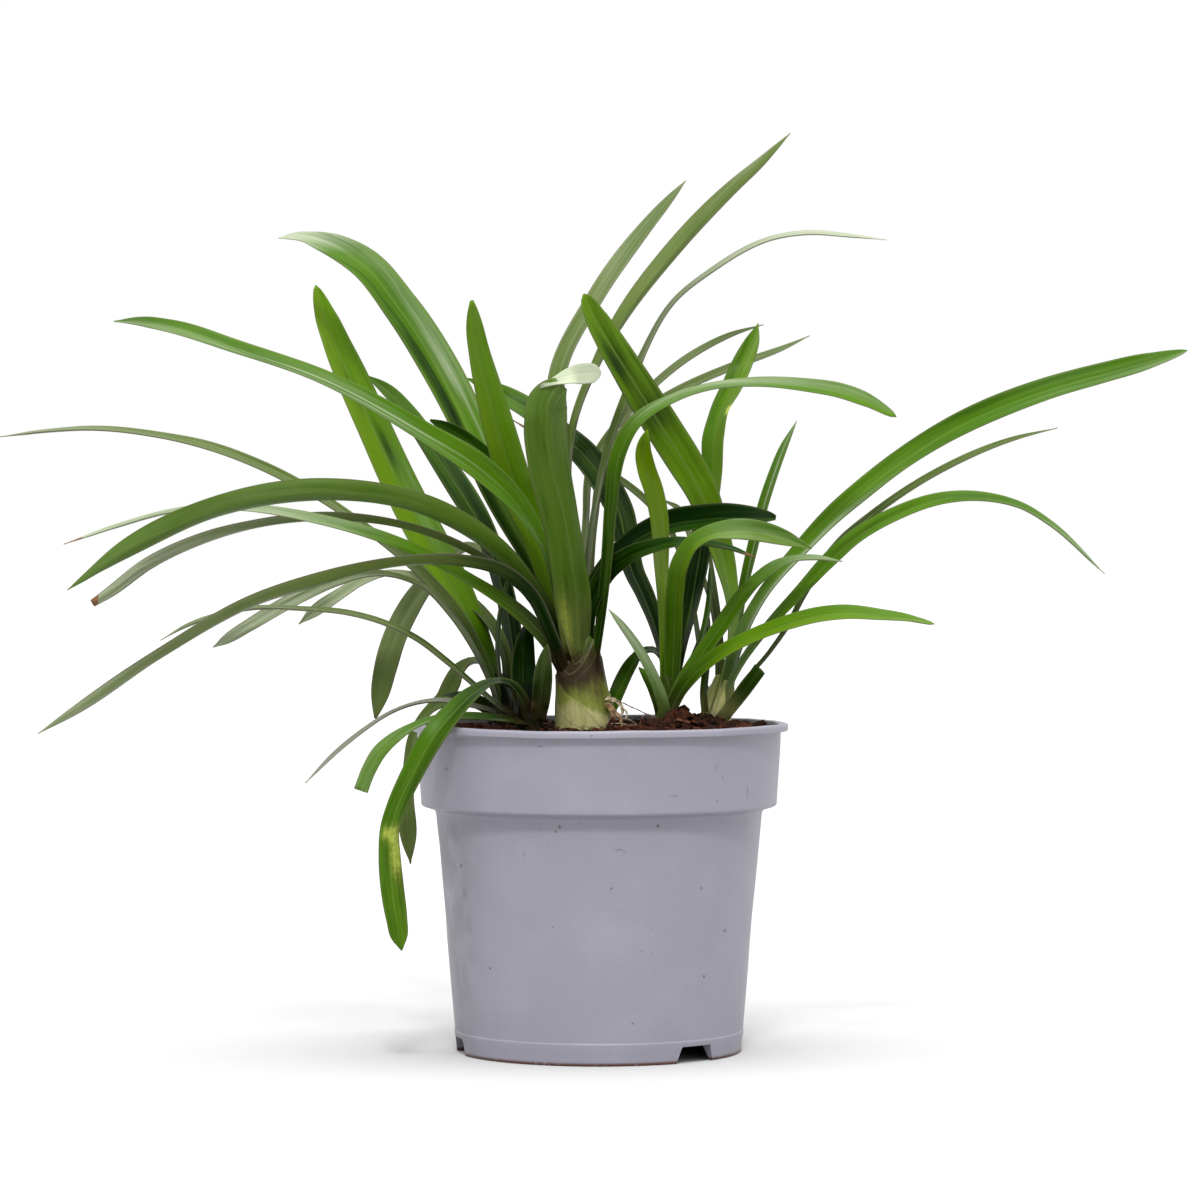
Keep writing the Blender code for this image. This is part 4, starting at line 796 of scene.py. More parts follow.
def makeNeck(name, rings):
    # Ellipses carried up the neck. Each sheath thickens the neck below its own edge, which rises to
    # both sides of its low point as the angle to a power.
    curve, _ = smoothRun(rings, neckLook["rows"].get(name, neckLook["plainRows"]))
    turns = around(neckLook["turns"].get(name, neckLook["plainTurns"]))
    level = curve[:, 2:3] + 0 * turns
    swell = np.sin(11 * turns + level / 9) + 0.6 * np.sin(17 * turns - level / 6)
    swell = neckLook["ribs"] * swell
    seam, inner, shift = (np.zeros_like(level) for _ in range(3))
    for k, (facing, low, left, right, power, thick, line) in enumerate(sheaths[name]):
        away = np.angle(np.exp(1j * (turns - math.radians(facing))))
        rise = np.where(away < 0, left, right) * np.abs(away) ** power
        over = level - (low + rise + neckLook["wander"] * np.sin(5 * away + low))
        swell = swell + thick * (smoothStep(-neckLook["lip"], 0, -over) - 0.55)
        mark = np.exp(-((over + 0.3) / neckLook["line"]) ** 2)
        mark = mark * smoothStep(neckLook["armReach"] + 0.4, neckLook["armReach"], np.abs(away))
        seam = np.where(mark > np.abs(seam), line * mark, seam)
        form = neckLook["forms"].get((name, k))
        if form == "hollow":
            # The neck falls back inside the outer V
            swell = swell - neckLook["hollow"] * smoothStep(1, 9, over) * (np.abs(away) < 1.5)
        elif form == "raised":
            # Behind this edge the colours of the neck start higher up
            behind = smoothStep(-0.2, 0.5, -away) * (away > -2.9)
            shift = neckLook["raise"] * smoothStep(-0.5, 0.5, over) * behind
        elif form == "inner":
            # A leaf's pale base shows inside the innermost V
            inner = smoothStep(0, 2.2, over) * (np.abs(away) < 1.6)
    x = curve[:, 0:1] + (curve[:, 3:4] + swell) * np.cos(turns)
    y = curve[:, 1:2] + (curve[:, 4:5] + swell) * np.sin(turns)
    # The map's angle would jump where the ring closes, so it runs up and down again
    neckMap = np.stack([4 * np.abs(turns / math.pi - 1) + 0 * level, level + shift, inner], -1)
    values = {"neckMap": neckMap, "neckSeam": seam}
    material = neckMaterial(name + "_sheath", neckKinds[name])
    piece = tubePiece(name + "_neck", np.stack([x, y, level], -1) * mm, values, material)
    dress(piece, "leaf", name)


# Strips and roots at the middle shoot's foot: the material's name, its pale and its dark colour, then
# for each one half thickness, half width and points across, back, up
strands = {
    "paper_strip": ("dryPaper", (0.38, 0.34, 0.24), (0.17, 0.13, 0.075), [
        (0.2, 1.15, [
            (3.2, -16.6, 161.4), (6.2, -18.8, 161.0), (8.8, -19.6, 159.6), (10.5, -20, 157.4),
            (10.6, -20.4, 155.2), (9.4, -20.8, 153.2)]),
        (0.2, 0.55, [
            (9.6, -20.2, 157.6), (11.6, -21, 156.6), (12.6, -21.6, 154.6), (12.0, -22, 152.0)])]),
    "husk_strip": ("dryHusk", (0.22, 0.14, 0.07), (0.07, 0.035, 0.018), [
        (0.22, 1.6, [
            (4.0, -18.2, 159.6), (5.6, -20.0, 157.0), (6.6, -21.2, 154.0), (6.2, -22.0, 150.4)]),
        (0.2, 1.0, [
            (6.4, -20.4, 156.4), (8.4, -21.6, 154.4), (9.8, -22.6, 152.0), (10.4, -23.2, 149.0)])]),
    "dry_root": ("dryRoot", (0.36, 0.30, 0.20), (0.12, 0.08, 0.045), [
        (0.26, 0.26, [
            (2, -17, 149.6), (6, -20, 151.2), (9.4, -21.5, 152.4), (14, -22.5, 151.8),
            (18, -23, 148.8)]),
        (0.2, 0.2, [
            (0, -19, 148.8), (4, -22, 149.8), (8.2, -24.4, 150.4), (12.8, -25.5, 149.8),
            (16.5, -26.5, 148.4)])]),
    "brown_root": ("brownRoot", (0.17, 0.085, 0.05), (0.05, 0.025, 0.015), [
        (0.26, 0.26, [
            (8, -19.6, 160.2), (11.4, -19.8, 159.2), (13.8, -19.6, 157.9), (17, -19.4, 156.6),
            (21, -18.8, 154.6), (24.2, -18.4, 153.4), (25.4, -18.2, 151.0), (23.6, -18.6, 149.4)]),
        (0.34, 0.34, [
            (18.6, -20, 149.6), (19.4, -20.2, 152.6), (21.4, -20.2, 154.4), (23.6, -20, 153.2),
            (24.6, -20.4, 150)])])}


def rootMaterial(name, pale, dark):
    material, tree, shader = newMaterial(name, 0.7)
    grain = noise(tree, places(tree), 480, 4, 0.65)
    colour = washed(tree, dark, pale, grain, 0.36, 0.60)
    finished(tree, shader, colour, 0.15, grain, 0.0005, 0.6)
    return material


def makeRoots(name, routes, material):
    # Flattened tubes: an oval ring carried along each smooth route, with knots where it swells
    turn = around(12)[..., None]
    for k, (thin, wide, route) in enumerate(routes):
        points, run = smoothRun(route, 60)
        along = unit(np.gradient(points, axis=0))
        side = unit(np.cross(along, np.array([0.2, -0.75, 0.62])))
        up = np.cross(side, along)
        size = 1 + 0.18 * np.sin(run * 1.9 + k) + 0.12 * np.sin(run * 4.3 + 2 * k)
        size = (size * (1 - 0.5 * (run / run[-1]) ** 2))[:, None, None]
        rings = points[:, None] + wide * size * np.cos(turn) * side[:, None]
        rings = rings + thin * size * np.sin(turn) * up[:, None]
        dress(tubePiece(f"{name}_{k}", rings[:, ::-1] * mm, {}, material), "leaf", "shoot_center")


# Leaves of each shoot: full width, lean (1 to the right, -1 to the left), fold of the channel in
# degrees, kind of tip, then points from root to tip in mm: across, up, back, and the width seen from
# the front, which is below zero where the underside faces the front.
leaves = {
    "shoot_center": {
        "broad_front": (19, 1, 14, "round", [
            (-9, 170, -9, -10), (-10.4, 187, -17.2, -13), (-11.4, 201, -26, -16), (-14, 222, -43, -16),
            (-18, 245, -62, -16), (-23, 270, -84, -18.5), (-24.3, 287, -98, -18.4),
            (-23.6, 295, -103.6, -17), (-20.6, 300.6, -107, -12.5), (-17.5, 304, -108.5, -7)]),
        "broad_front_tip": (8.5, 1, 8, "scrap", [
            (-27, 302.6, -106.1, 1.2), (-20.6, 305.2, -107.2, 3.2), (-13.2, 307.7, -107, 6.8),
            (-6.4, 308.7, -104.8, 8.6), (-0.9, 308.8, -102.1, 5.7), (0.7, 308.6, -101.3, 2)]),
        "long_left": (13, -1, 22, "point", [
            (-13.5, 174, -10.5, -6), (-23.5, 199, -22, -7.5), (-42, 225.5, -35, -8),
            (-75, 247.3, -50, -9), (-128, 256, -66, -9.5), (-175, 248, -74, -9.3),
            (-215, 229.3, -78, -7.8), (-242.5, 210, -80, 0)]),
        "spear_left": (12, -1, 16, "point", [
            (-9, 176, -13, 5), (-18, 207, -24, 5), (-25, 231, -34, 5), (-36, 249, -42, 8.5),
            (-54, 266, -50, 11), (-80, 282.5, -58, 9), (-125, 307, -68, 6), (-165, 321, -75, 6),
            (-195, 330.3, -78, 5.5), (-210, 332.6, -80, 3.7), (-221, 332.5, -81, 0)]),
        "broad_left": (20, -1, 16, "point", [
            (-10, 174, -4, 7), (-20, 207, -3, 9), (-31, 228, 0, 12), (-47, 258, 7, 15),
            (-58, 283, 14, 16.5), (-73, 312.5, 24, 17), (-90, 339, 34, 16.5), (-108, 360, 42, 14),
            (-126, 369, 48, 8.5), (-137, 371.3, 51, 3), (-146, 370.3, 53, 0)]),
        "blunt_left": (15, -1, 12, "blunt", [
            (-10, 176, -9, 10), (-18.5, 205, -15, 12), (-28, 235, -20, 14), (-38.5, 260, -29, 15),
            (-45, 282, -38, 14), (-50, 300, -45, 12), (-54.5, 318, -52, 9.5), (-57, 332, -57, 7),
            (-58, 342, -60, 2)]),
        "short_left": (7, -1, 20, "blunt", [
            (-12, 190, -7, 3), (-25, 232, -8, 4), (-38, 257, -8, 5), (-56, 275.5, -6, 6.2),
            (-69, 284, -7.4, 5.2), (-77, 287.6, -8, 0.8)]),
        "low_left": (9, -1, 24, "point", [
            (-14.5, 169, -11, -5), (-22.5, 191.5, -27, -5.5), (-31, 208.5, -37, -6),
            (-43, 218.5, -45, -6), (-66, 224, -57, -5), (-85, 223.8, -64, -4), (-105, 221, -70, -4.5),
            (-130, 214.5, -76, -6), (-155, 206.5, -80, -5), (-200, 181.5, -86, -4.5),
            (-240, 154.5, -90, -3.5), (-256, 144.5, -91, 0)]),
        "brown_tip_left": (8, -1, 20, "point", [
            (-12, 176, -9, -3), (-24, 196, -13, -3), (-40, 216, -18, -3), (-60, 229, -20, -3),
            (-90, 240, -22, -3), (-120, 243.7, -25, -4), (-158, 240, -28, -3.5), (-180, 234, -30, -5),
            (-205, 222.5, -31, -5.5), (-224, 208.5, -32, -4.5), (-231, 204, -32, -3)]),
        "pale_tip_left": (8, -1, 18, "point", [
            (-14.5, 170, -9, 5), (-24, 187.5, -14, 6.5), (-34, 198, -16, 6.5), (-60, 215.8, -22, 5),
            (-90, 231, -30, 5), (-130, 243, -38, 4.5), (-165, 248, -46, 2.7), (-195, 246.3, -50, 1.6),
            (-220, 239.5, -53, 1.3), (-244, 231, -55, 0)]),
        "upright_back": (12, 1, 16, "point", [
            (-10, 176, -2, 6), (-15, 225, 8, 7), (-20, 283, 27, 8), (-19, 308, 40, 8),
            (-2, 343, 63, 7.5), (20, 374, 85, 6.5), (31, 387, 93, 4), (39.5, 396.5, 98, 0)]),
        "tall_back": (11, 1, 20, "point", [
            (-8, 176, -2, 3), (-12, 235, 9, 3), (-14.3, 266, 14, 3), (-11.5, 287, 20, 3.3),
            (-1, 314, 30, 4), (8, 331, 38, 5.5), (32, 363.5, 57, 7.7), (60, 393, 74, 6),
            (73, 404.5, 80, 4.3), (87, 418, 86, 0)]),
        "thin_back": (8, 1, 18, "point", [
            (-4, 180, -2, 2), (-5.5, 222, 6, 2), (-1.5, 250, 10, 2.3), (4.5, 277, 18, 3.5),
            (12, 297, 27, 4.5), (20, 318, 38, 2.5), (35, 343, 50, 2), (50, 355, 56, 2),
            (80, 370.8, 65, 1.6), (96, 373, 69, 1.9), (112, 371.8, 73, 1.6), (131, 369.5, 76, 0)]),
        "far_arc_high": (6, 1, 18, "point", [
            (-6, 180, 0, 3), (-7, 215, 26, 3), (-6, 243, 50, 3), (-3, 268, 70, 3.5),
            (16, 294.5, 81, 3.5), (45, 319, 91, 3), (60, 326.5, 94, 2.2), (75, 331, 97, 0)]),
        "far_arc_low": (6, 1, 18, "point", [
            (-4, 180, 0, 3), (-4, 215, 22, 3), (-2, 243, 44, 3), (1, 262, 58, 3.5), (8, 278, 62, 4),
            (17, 289.5, 66, 4), (30, 298, 70, 3.5), (58, 311, 79, 3.5), (85, 321, 88, 2),
            (96, 326, 91, 0)]),
        "right_arch": (9, 1, 18, "round", [
            (-3, 171, -12, 3), (-0.9, 184, -15.4, 3.5), (0.6, 196, -17, 4.1), (4, 230, -24, 4.8),
            (5.5, 250, -27, 5.6), (9, 273, -33, 7), (16, 286, -38, 6), (36, 298.5, -43, 3.5),
            (50, 302.8, -46, 3), (70, 305, -49, 4.2), (95, 303.5, -53, 5.7), (110, 301, -56, 6.3),
            (122, 296.7, -58, 5.8), (135.5, 289, -60, 0)]),
        "dark_folded": (13, 1, 30, "round", [
            (-6, 182, -6, 6), (-5, 205, -2, 8), (8, 226.5, -2, 8), (20, 236.5, -4, 9),
            (33, 241.5, -8, 11), (46, 243.5, -14, 11), (58, 244.5, -20, 10), (70, 244, -25, 7.5),
            (80.5, 243.2, -28, 3)]),
        "dark_brown_tip": (9, 1, 22, "point", [
            (-6, 180, -11, 6), (-4, 203, -14, 7), (3, 217.5, -17, 8.5), (12, 225, -24, 8),
            (24, 230, -34, 6), (36, 232.2, -37, 4), (48, 231.7, -39, 2.5), (60, 229.5, -41, 1.8),
            (70.5, 225.3, -43, 0.8)])},
    "shoot_left": {
        "bright_left": (18, -1, 14, "blunt", [
            (-42, 152, 11, 6), (-46.5, 166, 14, 6), (-52, 183, 19, 8), (-58.5, 198, 24, 11.5),
            (-67, 214, 31, 15), (-76, 230, 38, 16.5), (-86, 249, 46, 16.5), (-104, 288, 62, 15.5),
            (-112, 306, 70, 14.5), (-119, 322, 76, 12.5), (-125, 337, 81, 9), (-129, 349, 85, 0)]),
        "thin_long_left": (9, -1, 20, "point", [
            (-43, 152, 5, 3), (-50.5, 173, 2, 4), (-60, 193, 0, 4.5), (-80, 217.3, -4, 4.8),
            (-104, 237, -8, 4), (-135, 257.5, -10, 4), (-155, 267.5, -12, 4), (-178, 276, -13, 4),
            (-200, 280.8, -14, 2.6), (-232, 284, -16, 1.5), (-252, 282.8, -16, 1),
            (-273, 280, -17, 0.5)]),
        "olive_left": (9, -1, 18, "point", [
            (-43, 150, 4, 2), (-49, 167, -2, 2), (-57, 183.5, -7, 2), (-67, 198.5, -10, 2),
            (-80, 211.8, -13, 2), (-92, 216.8, -16, 2), (-105, 218, -20, 3.5), (-120, 214.5, -24, 5),
            (-140, 205.5, -28, 6), (-160, 193.8, -32, 5.5), (-171, 187, -34, 3.5), (-176, 184, -35, 0)]),
        "pale_left": (8, -1, 18, "point", [
            (-42, 158, 13, 4), (-42.5, 181, 20, 5), (-48, 193.5, 26, 5), (-56, 203, 32, 5),
            (-66, 210, 38, 4.5), (-80, 215.5, 43, 4), (-97, 217.8, 48, 2.5), (-108, 214.5, 50, 4),
            (-118, 208.5, 52, 5.2), (-130, 200.3, 54, 5), (-137, 194.5, 56, 0)]),
        "thin_upright_left": (4, -1, 14, "point", [
            (-43.5, 156, 8, 1.8), (-46.2, 186, 5, 1.8), (-45.3, 198, 4, 2), (-43, 208, 4, 2),
            (-40.5, 220, 5, 0.6)])},
    "shoot_left_back": {
        "green_back_left": (13, -1, 14, "point", [
            (-37, 152, 29, 6), (-38, 175, 32, 8), (-41, 200, 40, 8.5), (-46, 220, 47, 9),
            (-51.5, 236, 54, 10), (-60, 251, 62, 11.5), (-69, 265, 70, 10.5), (-79, 280, 78, 9),
            (-88, 292.5, 86, 7.5), (-97, 301.8, 92, 5.5), (-106, 308, 97, 0)]),
        "drooping_back_left": (13, -1, 12, "point", [
            (-36, 154, 32, 5), (-37, 185, 48, 5), (-44, 210, 61, 5), (-52, 226, 70, 4),
            (-60, 229.5, 76, 4), (-68, 225.5, 80, 6), (-77, 215.5, 84, 8), (-86, 203, 87, 10.5),
            (-93, 189, 90, 11), (-97.5, 174, 92, 10.5), (-100, 162, 93, 8), (-102, 151.5, 94, 1)]),
        "hanging_back_left": (9, -1, 14, "point", [
            (-38, 152, 30, 3), (-45, 168, 36, 2), (-52, 177, 41, 1.8), (-58, 177.8, 45, 3),
            (-64, 173.5, 48, 6.5), (-67.5, 167, 50, 8), (-71, 161, 51, 7), (-76, 157, 52, 4.5),
            (-81, 151.5, 52, 3.5), (-85, 143, 51, 4), (-87, 130, 50, 4.5), (-87.5, 113, 49, 6.5),
            (-87, 98, 48, 7.3), (-86, 85, 48, 0)]),
        "low_back_left": (8, -1, 14, "point", [
            (-38, 151, 27, 5), (-47, 154.5, 27, 5.5), (-54, 158.5, 28, 6.5), (-62, 162, 29, 4),
            (-71, 162.4, 30, 0)]),
        "dry_left": (4, -1, 14, "point", [
            (-38.5, 151, 27, 2), (-48, 155, 20, 2), (-60, 158, 14, 2), (-72, 160, 8, 1.8),
            (-84, 158.6, 2, 1.2), (-96, 154, -4, 1.2), (-106, 147.5, -9, 1.4), (-120, 136.2, -13, 1.6),
            (-134, 122, -16, 0.6)])},
    "shoot_left_front": {
        "folded_left": (11, -1, 14, "point", [
            (-32, 152, -20, 5), (-34.5, 160, -26, 5), (-39, 166.3, -32, 3.5), (-45, 168.6, -38, 2.2),
            (-51, 167.8, -44, 3.8), (-58, 163.3, -50, 6.5), (-66, 155.5, -56, 8.5),
            (-76, 143, -62, 10), (-86, 125, -64, 9.5), (-92, 112, -65, 9), (-95.3, 102, -66, 8.5),
            (-95.5, 88, -66, 9.5), (-94.3, 74, -65, 10), (-92.3, 60, -64, 9), (-91, 51, -63, 6.5),
            (-90, 45.5, -63, 0)]),
        "cut_left": (7.5, -1, 14, "cut", [
            (-33, 150, -22, 2.5), (-48, 152.2, -32, 3), (-62, 152.8, -40, 3), (-76, 151.4, -46, 2.2),
            (-85, 148, -50, 3), (-93, 143, -53, 5), (-100, 136.5, -55, 6.3), (-105, 128, -56, 6.3),
            (-108.7, 118.5, -57, 6)]),
        "thin_drooping_left": (6, -1, 18, "point", [
            (-33, 150, -19, 2), (-45, 157, -23, 2), (-57, 167.2, -26, 2), (-70, 178.3, -30, 2.5),
            (-82, 187.5, -33, 2.6), (-97, 195, -36, 2.3), (-115, 200, -39, 2), (-135, 201.8, -42, 1.6),
            (-155, 202.4, -45, 1.5), (-172, 199.6, -47, 1.3), (-188, 194, -49, 1.1),
            (-200, 187.2, -51, 0)]),
        "short_dark_left": (12, -1, 14, "point", [
            (-33, 152, -13, 8), (-34, 165, -11, 11), (-34.4, 178, -9, 10.5), (-33.0, 190, -7, 6.5),
            (-31.4, 197, -6, 0.8)]),
        "short_pale_left": (8.5, 1, 14, "point", [
            (-27.8, 151, -21, 6.5), (-26.4, 161, -25, 8), (-25.4, 172, -28, 8), (-24, 181.5, -30, 4),
            (-23.3, 185.5, -31, 0.6)])},
    "shoot_right": {
        "upright_right": (10, -1, 14, "point", [
            (30.5, 152, -8, 5), (31, 172, -7, 6), (30.4, 190, -7, 5.5), (29.3, 207, -10, 5.5),
            (28.5, 222, -14, 6.5), (28.2, 234, -20, 7.5), (27.2, 245, -26, 8), (24.8, 256, -33, 8.3),
            (21.5, 266, -41, 8), (20.3, 274, -48, 6.7), (21.2, 280, -53, 3.6), (22, 283, -55, 0.6)]),
        "bowed_right": (10, 1, 16, "point", [
            (31, 152, -9, 6), (33, 170, -12, 7), (34, 192, -20, 7.5), (34.8, 210, -32, 8),
            (37.3, 223, -43, 8), (43, 232, -49, 7), (51, 236.6, -53, 6.5), (61, 238, -56, 8.5),
            (73, 237, -59, 9), (85, 233.8, -61, 6.5), (97, 229, -62, 0)]),
        "twisted_right": (13, 1, 12, "point", [
            (32, 154, -6, 5), (35, 172, -3, 4.5), (37.7, 186, 2, 5.5), (41, 201, 8, 8),
            (44, 218, 14, 10), (46.7, 234, 19, 9.5), (49.5, 250, 25, 9.5), (51.5, 265, 30, 9.5),
            (52, 280, 35, 10), (54.5, 291, 40, 8), (60.5, 303, 47, 9), (65.5, 314, 54, 9),
            (70, 324, 60, 6), (72.5, 331.5, 64, 0)]),
        "crossing_right": (14, -1, 14, "point", [
            (31, 160, -4, 4), (30, 177, 3, 4), (26.3, 194, 9, 6.5), (21, 208, 14, 8.5),
            (15.5, 220, 19, 9.5), (12.8, 232, 23, 11), (10, 245, 28, 12), (3.5, 258, 33, 12.5),
            (-6, 271.5, 39, 12.5), (-19, 283, 45, 11), (-33, 293.5, 50, 9.5), (-46, 300.5, 55, 7.5),
            (-60, 306.5, 60, 0.6)]),
        "pale_tip_right": (8, 1, 16, "point", [
            (31, 154, -12, 5), (38, 168, -17, 6), (50, 186, -24, 6.5), (57, 196, -27, 6.7),
            (64, 206, -30, 6.5), (72, 215, -33, 5.5), (80, 221, -36, 4.8), (88, 224.3, -39, 2.6),
            (99, 225, -42, 1.9), (111, 223.2, -44, 0)]),
        "low_right": (9, 1, 16, "round", [
            (31, 152, -12, 5), (38, 166, -22, 6), (44, 173, -27, 6.7), (52, 179.5, -32, 6.3),
            (75, 191.5, -40, 6), (88, 196, -44, 6.3), (100, 199, -47, 6.5), (113, 200.2, -50, 6.3),
            (128, 199, -53, 5), (141, 197.5, -55, 3), (153, 194.6, -57, 0)]),
        "small_right": (6, -1, 14, "point", [
            (30.5, 151, -12, 5), (29, 159, -17, 5.5), (26, 168, -21, 4.6), (16, 186.5, -27, 3.9),
            (10.5, 194, -30, 3), (4.5, 201.3, -33, 0.5)]),
        "stub_pointed_right": (6, -1, 12, "point", [
            (29, 151, -9, 5), (27, 159, -11, 5), (24.5, 166, -12, 5), (21, 171.5, -13, 3.5),
            (18, 175, -14, 0.5)]),
        "hooked_right": (8, -1, 26, "point", [
            (31, 154, -4, 5), (31.5, 168, 5, 3), (29, 179, 12, 2.5), (24.5, 183, 16, 2.2),
            (19.5, 182, 18, 3), (15, 177, 19, 5.5), (11, 170, 19, 6.5), (8, 163, 18, 6.5),
            (5.5, 156, 17, 5), (4, 151.5, 16, 2)]),
        "thin_middle": (5, 1, 14, "point", [
            (32, 156, -5, 2.2), (38, 170, 3, 2.2), (43, 180, 5, 2.3), (47, 190, 6, 2.3),
            (49.8, 203, 7, 2.3), (50.5, 222, 8, 0.6)])},
    "shoot_far_right_back": {
        "big_crossing": (17, -1, 10, "round", [
            (53, 152, 12, 6), (56.5, 165, 14, 5.5), (60, 180, 17, 4.7), (61.3, 195, 18, 4.8),
            (60.5, 208, 18, 6), (57.5, 223, 16, 9), (52.5, 240, 11, 12.3), (46.5, 256, 6, 14.7),
            (39.5, 268, 3, 16), (30, 283, -1, 16), (12, 312, -7, 14), (4, 325, -9, 12.5),
            (-2.5, 336, -11, 9), (-7, 345, -12, 1)]),
        "narrow_upright_right": (7, 1, 20, "point", [
            (54, 152, 16, 4), (60, 172, 24, 4), (62.5, 190, 29, 4), (64.8, 206, 33, 4.2),
            (71, 234, 40, 4.7), (74.5, 248, 44, 4.7), (79, 262, 48, 4.5), (84, 275, 52, 3.5),
            (90, 287, 56, 0)]),
        "short_middle": (5, 1, 14, "point", [
            (49, 150, 11, 3), (47.7, 162, 8, 3.2), (48.7, 174, 9, 3.2), (49.5, 188, 12, 2.5),
            (50, 200, 15, 0.6)]),
        "wisp_far": (4, -1, 14, "point", [
            (53, 154, 15, 1.8), (54, 170, 20, 1.8), (53.8, 184, 24, 2), (51.5, 203, 30, 2),
            (46, 220, 36, 2), (41, 236, 42, 2.2), (36, 247.5, 47, 2.4), (29.5, 251, 50, 0.6)]),
        "wisp_near": (4, -1, 14, "point", [
            (54, 154, 12, 2), (56, 170, 19, 2), (55.5, 186, 22, 2.2), (54, 200, 26, 2.5),
            (52, 214, 29, 2.5), (50.3, 230, 32, 0.6)]),
        "long_wisp": (5, -1, 14, "point", [
            (51, 154, 17, 2), (47, 176, 24, 2), (43.5, 200, 31, 2), (38.5, 222, 37, 2),
            (31, 240, 42, 2.5), (22, 250.5, 45, 3), (8, 261.5, 47, 3), (-6, 268.5, 49, 2.5),
            (-20, 276, 55, 2), (-40, 288, 62, 0.6)])},
    "shoot_far_right_front": {
        "long_right": (13, 1, 18, "blunt", [
            (55, 152, 1, 4), (58, 167, 2, 4.5), (62, 182, 1, 5), (67, 195, -1, 5.2),
            (74, 207.5, -3, 5.2), (94, 231.5, -6, 7), (106, 244, -8, 8), (120, 256, -11, 9),
            (136, 268.5, -13, 9.5), (156, 281.3, -15, 10), (205, 302.3, -21, 10), (230, 309.3, -23, 9),
            (250, 314.5, -25, 6.8), (268, 319.3, -26, 0)]),
        "wisp_right": (5, 1, 16, "point", [
            (57, 152, -1, 2), (63, 164, -4, 1.6), (78, 182.5, -9, 1.6), (86, 194, -12, 2),
            (93, 207.5, -14, 2.5), (101, 221, -16, 3), (111, 233.5, -18, 3.2), (123, 243.5, -19, 3.3),
            (152, 263, -23, 2.8), (190, 279.5, -27, 1.6), (209, 284, -29, 0)]),
        "curved_right": (9, 1, 20, "point", [
            (55, 152, -3, 3), (60, 168, -8, 3), (74, 190, -17, 3.5), (91, 209, -24, 5),
            (108, 227, -29, 7), (116, 234, -31, 6.7), (133, 244, -34, 6), (158, 252.3, -38, 5),
            (172, 253, -40, 4.3), (194, 248, -42, 2.8), (206, 240.5, -43, 2), (230.5, 217.5, -45, 0)]),
        "cut_right": (7, 1, 12, "cut", [
            (55.5, 151, -6, 5.5), (60, 156.5, -10, 5.7), (66, 164, -13, 5.7), (73.5, 174.3, -16, 5.8)])}}
# Finish of each leaf; the rest are fresh
leafKinds = {
    "bright": ["low_right", "upright_right", "bright_left", "blunt_left", "big_crossing"],
    # The deep finish is painted shade: a darker copy of the fresh one for leaves that lie in shade
    "deep": ["dark_folded", "dark_brown_tip", "short_left", "low_back_left", "short_dark_left"],
    "grey": [
        "thin_back", "far_arc_high", "far_arc_low", "long_wisp", "wisp_far", "wisp_near", "wisp_right",
        "upright_back", "thin_drooping_left", "thin_long_left"],
    "plain": [
        "pale_left", "olive_left", "drooping_back_left", "hanging_back_left", "low_left",
        "brown_tip_left", "tall_back", "short_pale_left"],
    "dry": ["dry_left"],
    # The folded-over tip takes a pale finish with a painted sheen
    "silverSheen": ["broad_front_tip"]}
# Leaves with a withered end: where it starts along the leaf
witheredTips = {
    "brown_tip_left": 0.975, "pale_tip_left": 0.95, "dark_brown_tip": 0.93, "pale_tip_right": 0.97,
    "long_wisp": 0.9, "dry_left": 0.0, "thin_drooping_left": 0.96}
leafShape = {
    "step": 2.2, "columns": 13, "midrib": 1.05, "edge": 0.45, "keel": 0.38, "groove": 0.14,
    "wave": 0.016, "least": 0.35, "tipHold": 0.95,
    # Tips: where along the leaf they start, and the power that rounds them
    "tips": {"round": (0.86, 0.5), "blunt": (0.78, 0.65), "point": (0.72, 0.9)}}
# How strongly the pale root shows: by shoot, and for the middle shoot's leaves (the rest not at all)
rootShare = {
    "shoot_left": 0.1, "shoot_left_back": 0.1, "shoot_left_front": 0.1, "shoot_right": 0.35,
    "shoot_far_right_back": 0.9, "shoot_far_right_front": 0.9}
rootStains = {
    "shoot_left": 0.5, "shoot_left_back": 0.75, "shoot_left_front": 0.75, "shoot_right": 0.35}
paleRoots = {
    "broad_front": 0.35, "spear_left": 0.6, "blunt_left": 0.3, "pale_tip_left": 0.2}
# Where each kind of wear, the painted glow and the painted shading of the halves ends or begins: in mm
# along the leaf, in mm up, then across the blade and as shares of the leaf's length
leafReach = {
    "root": (0, 28), "sheathed": (50, 75), "paleHeights": (194, 226), "stainHeights": (174, 191),
    "glowAcross": (-0.1, 0.25), "glowAlong": (0.1, 0.35), "shadedHalvesAlong": (0.2, 0.5)}


def widthShare(share, tip):
    # Narrower at the root, full along the middle, drawn in to the tip
    root = np.minimum(1, 0.6 + 1.6 * share)
    if tip == "scrap":
        return np.minimum(1, 3.2 * share) * np.sqrt(1 - share ** 4)
    if tip == "cut":
        return root
    start, power = leafShape["tips"][tip]
    end = np.clip((share - start) / (1 - start), 0, 1)
    return root * (1 - end ** 2.2) ** power


